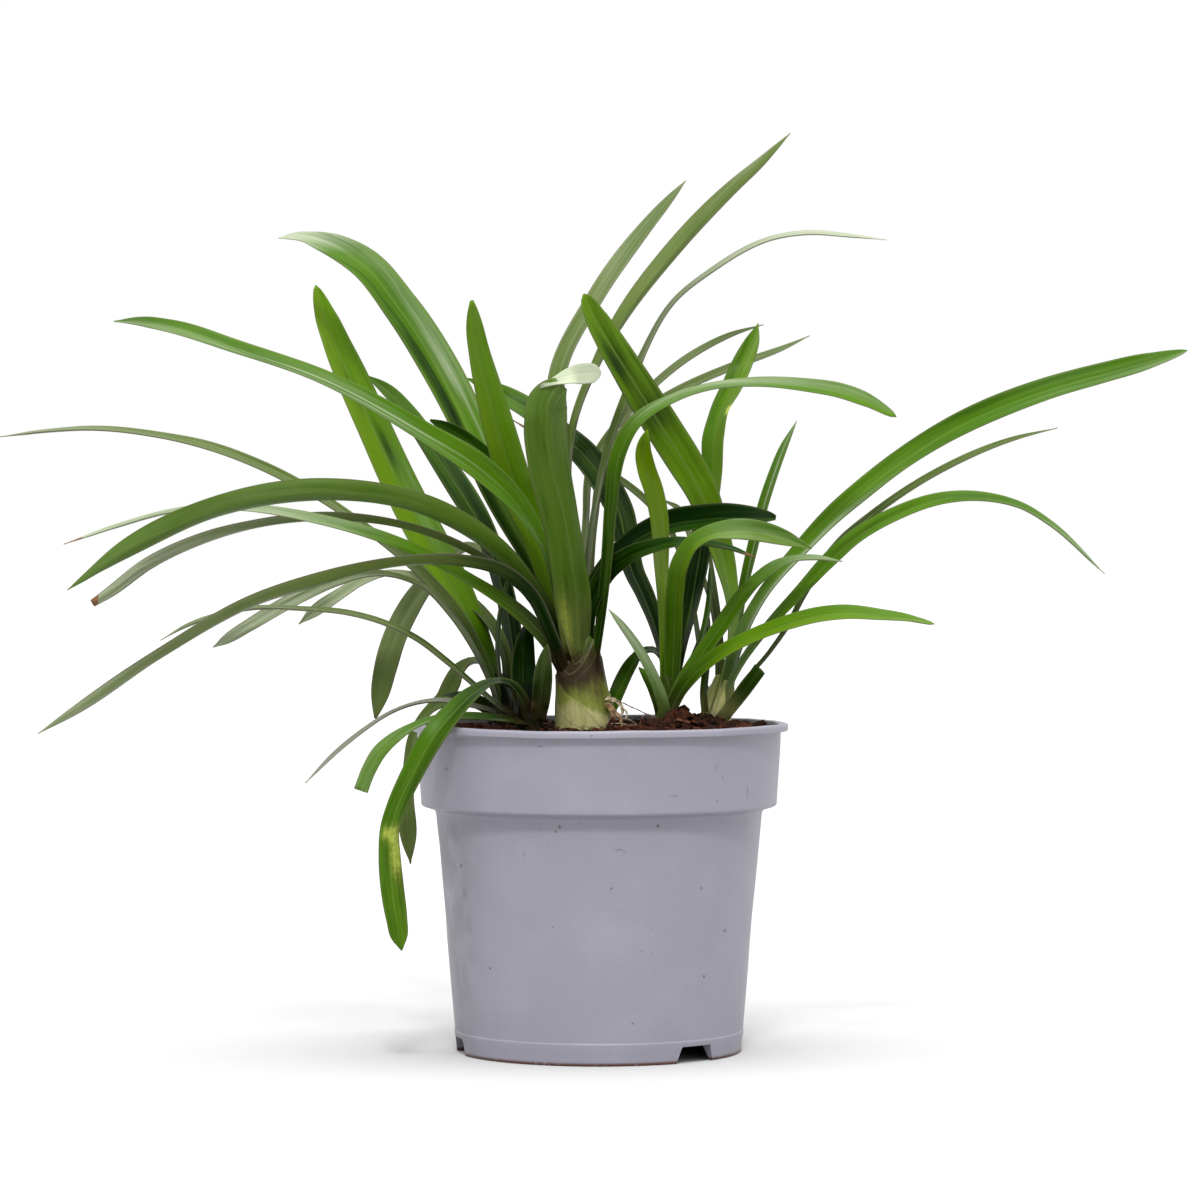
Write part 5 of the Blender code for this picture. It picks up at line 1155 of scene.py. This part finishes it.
def leafFrames(wide, lean, fold, tip, points, count):
    # The midrib's line in space: each point is moved along its sight line from the eye to its depth.
    # The blade is then turned about that line until its width from the front is the table's, which
    # gives its own up and side at each station.
    curve, run = smoothRun(points, count)
    share = run / run[-1]
    scale = 1 + curve[:, 2] / eye["front"]
    level = eye["up"] + (curve[:, 1] - eye["up"]) * scale
    spine = np.stack([curve[:, 0] * scale, curve[:, 2], level], 1)
    seen = curve[:, 3]
    width = np.maximum(np.abs(seen), wide * widthShare(share, tip))
    width = np.maximum(width, leafShape["least"])
    along = unit(np.gradient(spine, axis=0))
    sight = unit(spine - np.array([0, -eye["front"], eye["up"]]))
    deep = unit(sight - (sight * along).sum(1, keepdims=True) * along)
    over = lean * np.cross(along, deep)
    turn = np.arcsin(np.clip(seen / width, -1, 1))
    turn[share > leafShape["tipHold"]] = turn[share <= leafShape["tipHold"]][-1]
    turn = turn[:, None]
    up = np.cos(turn) * over - np.sin(turn) * deep
    side = np.cross(along, up)
    half = (width / 2)[:, None]
    rise = np.minimum(half * math.tan(math.radians(fold)), 0.3 * np.abs(seen)[:, None])
    middle = spine - rise * np.cos(turn) * over
    return middle, side, up, half, rise, run, share, seen


def leafSurface(index, wide, lean, fold, tip, points):
    # A channel: height rises from the midrib to the margins as the distance to the power 1.5. The
    # upper side has a narrow groove, the lower side a keel, and rounded margins join the two.
    count = int(np.clip(pathLength(points) / leafShape["step"], 30, 190))
    frames = leafFrames(wide, lean, fold, tip, points, count)
    middle, side, up, half, rise, run, share, seen = frames
    across = np.linspace(-1, 1, leafShape["columns"])[None, :]
    back = across[:, ::-1]
    far = np.abs(across)
    thin = np.clip(half / 1.6, 0.35, 1)
    thick = (leafShape["midrib"] * (1 - far ** 2) + leafShape["edge"] * far ** 2) / 2 * thin
    wave = leafShape["wave"] * 2 * half * across ** 3 * np.sin(run / 13 + 2.1 * index)[:, None]
    height = rise * far ** 1.5 + wave
    slim = np.clip(half / 3, 0, 1)
    top = height + thick - slim * leafShape["groove"] * np.exp(-(across / 0.09) ** 2)
    low = height - thick - slim * leafShape["keel"] * np.exp(-(across / 0.13) ** 2)
    margin = leafShape["edge"] * thin * 0.45
    lift = np.concatenate([top, height[:, -1:], low[:, ::-1], height[:, :1]], 1)
    out = np.concatenate([half * across, half + margin, half * back, -half - margin], 1)
    rings = middle[:, None] + out[..., None] * side[:, None] + lift[..., None] * up[:, None]
    acrossMap = np.concatenate([across, [[1.06]], back, [[-1.06]]], 1) + 0 * half
    under = np.concatenate([0 * across, [[0.5]], 0 * across + 1, [[0.5]]], 1) + 0 * half
    length = run[:, None] + 0 * acrossMap
    leafMap = np.stack([acrossMap, length, under], -1)
    # Streaks keep their size as the front sees them, so a leaf on edge has fewer of them
    spread = np.maximum(np.abs(seen), 0.3 * wide)[:, None] / 2
    leafSpan = np.stack([acrossMap * spread, length, 0 * acrossMap + 3.7 * index], -1)
    return rings * mm, leafMap, leafSpan, run, share


def stretched(tree, across, acrossScale, along, alongScale, seed):
    # A place on the leaf for long streaks: close together across it, far apart along it
    return joined(tree, times(tree, across, acrossScale), times(tree, along, alongScale), seed)


def leafMaterial(name, look):
    rough = look["roughness"]
    material, tree, shader = newMaterial(name, rough)
    across, _, under = parts(tree, attribute(tree, "leafMap"))
    root, tip, glow = parts(tree, attribute(tree, "leafWearAndGlow"))
    tone, stain, patch = parts(tree, attribute(tree, "leafShadeSheenStainPatch"))
    span, length, seed = parts(tree, attribute(tree, "leafSpan"))
    spot = places(tree)
    broad = noise(tree, stretched(tree, span, 0.30, length, 0.016, seed), 1.0, 3, 0.6)
    fine = noise(tree, stretched(tree, span, 0.75, length, 0.018, plus(tree, seed, 1.3)), 1.0, 1, 0.5)
    veins = noise(tree, stretched(tree, span, 1.35, length, 0.008, plus(tree, seed, 2.6)), 1.0, 0)
    colour = washed(tree, look["upper"], look["upper2"], noise(tree, spot, 16, 3, 0.55), 0.34, 0.66)
    colour = mixed(tree, under, colour, look["under"])
    colour = washed(tree, colour, look["deep"], broad, 0.42, 0.68, look["bands"])
    # Painted light: a bright yellow-green glow where the leaf is lit through
    colour = mixed(tree, glow, colour, look["glow"])
    # Painted light: tone below zero is painted shade that darkens a part of the leaf; above zero a
    # painted sheen, partly a waxy bloom, pales it in long streaks
    colour = washed(tree, colour, look["dark"], plus(tree, tone, swung(tree, broad, -0.12)), 0.0, -1.0)
    streaky = plus(tree, swung(tree, fine, 0.16), swung(tree, broad, -0.14))
    sheenAndBloom = times(tree, tone, plus(tree, 1.0, times(tree, streaky, 1.6)))
    colour = washed(tree, colour, look["sheenAndBloom"], sheenAndBloom, 0.02, 1.1)
    colour = washed(tree, colour, look["vein"], fine, 0.46, 0.72, look["streaks"])
    colour = washed(tree, colour, look["deep"], veins, 0.50, 0.74, look["streaks"] * 0.8)
    # A pale midrib and a pale line inside each margin, painted highlights along the crease and the edges,
    # and the margin itself
    away = sums(tree, "ABSOLUTE", across)
    rib = ranged(tree, away, 0.09, 0.02)
    line = times(tree, ranged(tree, away, 0.84, 0.90), ranged(tree, away, 0.96, 0.92))
    margin = ranged(tree, away, 0.93, 0.99)
    colour = mixed(tree, times(tree, rib, look["rib"]), colour, look["vein"])
    colour = mixed(tree, times(tree, line, look["edgeHighlights"]), colour, look["vein"])
    colour = mixed(tree, times(tree, margin, look["marginShare"]), colour, look["margin"])
    # The pale root, yellow patch, stain and withered tip, the last three with uneven edges
    mottle = noise(tree, spot, 330, 3, 0.6)
    uneven = plus(tree, 1.0, plus(tree, swung(tree, mottle, 0.25), swung(tree, fine, 0.2)))
    colour = washed(tree, colour, look["root"], root, 0.0, 1.0)
    colour = washed(tree, colour, look["patch"], times(tree, patch, uneven), 0.05, 1.0)
    colour = washed(tree, colour, look["stain"], times(tree, stain, uneven), 0.1, 0.9)
    withered = plus(tree, tip, swung(tree, noise(tree, spot, 260, 3), 0.2))
    colour = washed(tree, colour, look["tip"], withered, 0.35, 0.6)
    put(tree, shader.inputs["Roughness"], ranged(tree, fine, 0.35, 0.7, (rough - 0.05, rough + 0.1)))
    grain = plus(tree, broad, times(tree, fine, 0.35))
    finished(tree, shader, colour, look["gloss"], grain, 0.0004, 0.25)
    return material


freshLook = {
    "upper": (0.040, 0.108, 0.0012), "upper2": (0.056, 0.132, 0.003), "under": (0.062, 0.122, 0.010),
    "deep": (0.017, 0.055, 0.0006), "dark": (0.0015, 0.011, 0.0002), "glow": (0.082, 0.150, 0.001),
    "sheenAndBloom": (0.30, 0.335, 0.235), "vein": (0.105, 0.165, 0.036), "margin": (0.10, 0.082, 0.045),
    "marginShare": 0.35, "root": (0.22, 0.22, 0.075), "stain": (0.024, 0.016, 0.006),
    "patch": (0.29, 0.335, 0.055), "tip": (0.15, 0.072, 0.035), "rib": 0.40, "edgeHighlights": 0.35,
    "streaks": 0.16, "bands": 0.38, "roughness": 0.36, "gloss": 0.055}
leafLooks = {
    "fresh": freshLook,
    "bright": {
        **freshLook, "upper": (0.058, 0.138, 0.0008), "upper2": (0.072, 0.160, 0.002),
        "under": (0.084, 0.158, 0.005), "deep": (0.032, 0.084, 0.0006), "glow": (0.120, 0.200, 0.001),
        "bands": 0.25, "streaks": 0.1},
    # Painted shade: a darker copy of the fresh colours
    "deep": {
        **freshLook, "upper": (0.010, 0.042, 0.0004), "upper2": (0.019, 0.058, 0.0008),
        "under": (0.026, 0.062, 0.002), "deep": (0.004, 0.022, 0.0003), "vein": (0.05, 0.09, 0.01),
        "root": (0.03, 0.04, 0.008), "gloss": 0.03, "rib": 0.2, "edgeHighlights": 0.15},
    "grey": {
        **freshLook, "upper": (0.060, 0.098, 0.016), "upper2": (0.078, 0.112, 0.026),
        "under": (0.085, 0.115, 0.034), "deep": (0.036, 0.062, 0.008), "vein": (0.16, 0.18, 0.09),
        "margin": (0.085, 0.068, 0.055), "marginShare": 0.6, "rib": 0.7, "edgeHighlights": 0.6},
    "plain": {
        **freshLook, "upper": (0.066, 0.100, 0.017), "upper2": (0.082, 0.116, 0.025),
        "under": (0.082, 0.116, 0.026), "deep": (0.036, 0.062, 0.008), "vein": (0.15, 0.175, 0.08),
        "margin": (0.085, 0.068, 0.055), "marginShare": 0.6, "rib": 0.12, "edgeHighlights": 0.15,
        "streaks": 0.08, "bands": 0.25},
    "dry": {
        **freshLook, "upper": (0.15, 0.16, 0.115), "upper2": (0.13, 0.14, 0.10),
        "under": (0.17, 0.17, 0.13), "deep": (0.08, 0.085, 0.055), "vein": (0.25, 0.25, 0.20),
        "tip": (0.17, 0.175, 0.13), "rib": 0.2},
    # Painted sheen: a pale copy of the fresh colours for the folded-over tip
    "silverSheen": {
        **freshLook, "upper": (0.34, 0.385, 0.26), "upper2": (0.40, 0.44, 0.32),
        "under": (0.42, 0.45, 0.35), "deep": (0.24, 0.29, 0.17), "vein": (0.50, 0.52, 0.42),
        "root": (0.28, 0.33, 0.20)}}
# Painted shade (below 0) and painted sheen, partly a waxy bloom (above 0), on each leaf, at even steps
# from root to tip
plainShadeAndSheen = (-0.5, 0, 0.1)
leafShadeAndSheen = {
    "broad_front": (-0.35, -0.3, -0.05, 0, 0.14, 0.2),
    "long_left": (-0.9, -0.4, 0.12, 0.17, 0.16, 0.18), "spear_left": (-0.6, -0.1, 0, 0.15, 0.2, 0.35),
    "broad_left": (-0.95, -0.9, -0.45, -0.1, 0, 0, 0.05, 1.3),
    "blunt_left": (-0.6, -0.15, 0, 0.02, 0.06), "short_left": (-0.8, -0.5, -0.3),
    "low_left": (-1, -0.8, -0.2, 0.2, 0.32, 0.6), "brown_tip_left": (-1, -0.4, 0.15, 0.5, 0.6),
    "pale_tip_left": (-1, -0.3, 0.42, 0.6, 0.8), "upright_back": (-0.8, -0.2, 0.12, 0.2, 0.3),
    "tall_back": (-0.8, -0.35, -0.2, -0.12, 0.05), "thin_back": (-0.6, -0.2, 0, 0.22, 0.75, 1.4),
    "far_arc_high": (-0.5, 0, 0.15, 0.2), "far_arc_low": (-0.5, 0, 0.1, 0.25),
    "right_arch": (-0.8, -0.65, -0.45, 0.22, 0.34, 0.18, 0.12), "dark_folded": (-1.3, -1.2, -1.0, -0.7),
    "dark_brown_tip": (-1, -0.9, -0.5, 0), "bright_left": (-0.55, -0.4, -0.02, 0.03, -0.06, -0.1),
    "thin_long_left": (-0.6, -0.25, 0, -0.05, 0.12, 0.5), "olive_left": (-0.8, -0.3, 0.2, 0.62, 0.62),
    "pale_left": (-0.8, -0.3, 0.42, 0.66), "thin_upright_left": (-0.8, -0.4, -0.1),
    "green_back_left": (-1.2, -1.1, -0.8, -0.4, -0.3),
    "drooping_back_left": (-0.8, -0.3, 0.2, 0.25, 0.1),
    "hanging_back_left": (-0.8, 0.15, 0.12, 0, 0.12, 0.12), "low_back_left": (-1.2, -1, -0.7),
    "folded_left": (-1.3, -0.9, -0.45, -0.3, -0.3, 0), "cut_left": (-0.9, -0.1, 0.22, 0.25),
    "thin_drooping_left": (-0.9, -0.5, -0.2, 0.1, 0.3), "short_dark_left": (-1.3, -1.0, -0.3),
    "short_pale_left": (-0.75, -0.68, -0.5), "upright_right": (0, 0.15, 0.22, 0.15, 0.05),
    "bowed_right": (-0.6, -0.4, -0.1, 0.28, 0.2), "twisted_right": (-0.8, -1.2, -1.0, -0.12, 0, 0),
    "crossing_right": (-1, -1, -0.9, -0.6, 0), "pale_tip_right": (-0.3, 0, 0.12, 0.6),
    "low_right": (-1.1, -0.5, 0, 0.1, 0.12, 0.1), "small_right": (0.15, 0.35, 0.55, 0.5),
    "hooked_right": (-1, -0.8, -0.6, -0.3), "thin_middle": (-0.6, 0, 0.1),
    "big_crossing": (-0.2, -0.05, -0.2, -0.24, -0.38, -0.5, -0.35),
    "narrow_upright_right": (0, 0, 0.05, 0.3), "short_middle": (-0.7, -0.5, 0),
    "wisp_far": (0, 0.1, 0.3), "wisp_near": (-0.2, 0.1, 0.3), "long_wisp": (-0.4, -0.1, 0.1, 0.4),
    "long_right": (0.35, 0.2, -0.05, -0.15, 0.06, 0.15), "wisp_right": (0.1, -0.3, -0.55, -0.3, 0.15),
    "curved_right": (0.4, 0, -0.28, -0.06, 0.5), "cut_right": (-0.5, -0.6, -0.6)}
# Halves painted lit and shaded: added to the tone on the half to the right of its growth, as the front
# sees it, and taken from the left, so one half is painted lighter and the other darker
litAndShadedHalves = {
    "broad_left": 0.2, "tall_back": -0.25, "spear_left": -0.1, "long_right": 0.15,
    "twisted_right": 0.15, "folded_left": 0.15, "broad_front": 0.05, "right_arch": -0.12,
    "dark_folded": 0.4, "curved_right": 0.12, "blunt_left": 0.08}
# Marks: share of the length, reach along, place across (1 the right margin), reach across, tone (painted
# shade below 0, painted sheen above 0), pale patch
leafMarks = {
    "broad_front": [
        (0.17, 0.12, -0.62, 0.34, 0, 0.62), (0.8, 0.1, -0.15, 0.22, -0.45, 0),
        (0.35, 0.22, 0.75, 0.25, 0.3, 0), (0.2, 0.12, 0.3, 0.3, 0, 0.08)],
    "bright_left": [
        (0.62, 0.07, 0.25, 0.2, -0.9, 0), (0.76, 0.08, 0.0, 0.3, -0.45, 0),
        (0.5, 0.12, 0.75, 0.2, -0.3, 0)],
    "spear_left": [
        (0.6, 0.25, 0.0, 0.05, 0.6, 0), (0.6, 0.2, 0.4, 0.3, 0.2, 0), (0.6, 0.25, -0.5, 0.06, 0.5, 0)],
    "broad_left": [
        (0.55, 0.16, 0.44, 0.38, 0.48, 0), (0.5, 0.13, 0.62, 0.07, -0.7, 0),
        (0.47, 0.1, 0.32, 0.06, -0.6, 0), (0.5, 0.24, -0.5, 0.42, -0.7, 0),
        (0.3, 0.12, 0.5, 0.4, 0.25, 0)],
    "folded_left": [
        (0.75, 0.07, -0.5, 0.6, 0, 0.8), (0.70, 0.02, 0.2, 0.8, 0, 0.6), (0.9, 0.1, 0, 2, 0, 0.08)],
    "twisted_right": [(0.745, 0.013, 0.9, 0.22, 0, 2.2)],
    "upright_right": [
        (0.94, 0.07, 0, 1.2, -0.35, 0), (0.12, 0.15, -0.7, 0.3, -0.25, 0), (0.5, 0.25, 0, 2, 0, 0.2)],
    "long_right": [(0.27, 0.2, 0.6, 0.32, 0.7, 0)],
    "big_crossing": [(0.70, 0.05, 0.1, 0.9, -0.45, 0), (0.84, 0.05, -0.3, 0.5, -0.3, 0)],
    "narrow_upright_right": [(0.6, 0.4, 0.0, 0.12, 0.8, 0)],
    "thin_long_left": [(0.45, 0.3, 0.3, 0.12, 0.6, 0), (0.4, 0.3, -0.5, 0.12, 0.5, 0)],
    "thin_drooping_left": [(0.4, 0.4, 0.2, 0.2, 0.6, 0)],
    "curved_right": [(0.5, 0.4, -0.75, 0.12, 0.6, 0)]}
# Leaves lit through: which side of the midrib (0 for both), and how strongly
glowingHalves = {
    "bright_left": (-1, 0.4), "big_crossing": (0, 0.25), "blunt_left": (-1, 0.3),
    "folded_left": (-1, 0.2), "twisted_right": (1, 0.5), "upright_right": (0, 0.6),
    "bowed_right": (1, 0.6), "low_right": (1, 0.25)}


def rootWear(name, shoot, run, level):
    # How pale and how stained the leaf's root is
    if shoot == "shoot_center":
        # Dark where the leaf comes out of the sheaths, pale a little above, then green
        near = 1 - smoothStep(*leafReach["sheathed"], run)[:, None]
        pale = paleRoots.get(name, 0.0) * near * (1 - smoothStep(*leafReach["paleHeights"], level))
        return pale, near * (1 - smoothStep(*leafReach["stainHeights"], level))
    near = 1 - smoothStep(*leafReach["root"], run)[:, None] + 0 * level
    return near ** 1.5 * rootShare.get(shoot, 0.3), near * rootStains.get(shoot, 0.0)


def makeLeaves():
    kindOf = {leaf: kind for kind, group in leafKinds.items() for leaf in group}
    materials = {kind: leafMaterial("leaf_" + kind, look) for kind, look in leafLooks.items()}
    every = [(shoot, name, leaf) for shoot, group in leaves.items() for name, leaf in group.items()]
    for index, (shoot, name, leaf) in enumerate(every):
        rings, leafMap, leafSpan, run, share = leafSurface(index, *leaf)
        points = leaf[-1]
        right = leafMap[..., 0] * (1 if points[len(points) // 2][3] >= 0 else -1)
        pale, stain = rootWear(name, shoot, run, rings[..., 2] / mm)
        share = share[:, None]
        start = witheredTips.get(name, 2.0)
        withered = np.clip((share - start) / max(1 - start, 0.01), 0, 1) if start <= 1 else 0 * share
        side, strength = glowingHalves.get(name, (1, 0.0))
        lit = side * right if side else 1 + 0 * right
        glow = strength * smoothStep(*leafReach["glowAcross"], lit)
        glow = glow * smoothStep(*leafReach["glowAlong"], share)
        # Painted shade and painted sheen along the leaf
        steps = leafShadeAndSheen.get(name, plainShadeAndSheen)
        tone = np.interp(share, np.linspace(0, 1, len(steps)), steps)
        # One half painted lighter, the other darker
        shadedHalves = np.clip(2.2 * right, -1, 1) * smoothStep(*leafReach["shadedHalvesAlong"], share)
        tone = tone + litAndShadedHalves.get(name, 0.0) * shadedHalves
        patch = 0 * tone
        # Marks add painted shade and sheen to the tone, and pale patches
        for at, reach, across, breadth, markShading, paler in leafMarks.get(name, []):
            # A bell shape along the leaf times one across it
            bell = np.exp(-((share - at) / reach) ** 2 - ((right - across) / breadth) ** 2)
            tone = tone + markShading * bell
            patch = patch + paler * bell
        values = {
            "leafMap": leafMap, "leafSpan": leafSpan,
            "leafWearAndGlow": np.stack([pale, withered + 0 * glow, glow], -1),
            "leafShadeSheenStainPatch": np.stack([tone, stain, patch], -1)}
        piece = tubePiece(name, rings, values, materials[kindOf.get(name, "fresh")])
        dress(piece, "leaf", shoot)


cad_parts["soil"].data.materials.clear()
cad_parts["soil"].data.materials.append(soilMaterial())
makeBark()
print("soil and bark made")
for name, rings in necks.items():
    makeNeck(name, rings)
for name, (kind, pale, dark, routes) in strands.items():
    makeRoots(name, routes, rootMaterial(kind, pale, dark))
print("necks and roots made")
makeLeaves()
print("leaves made")
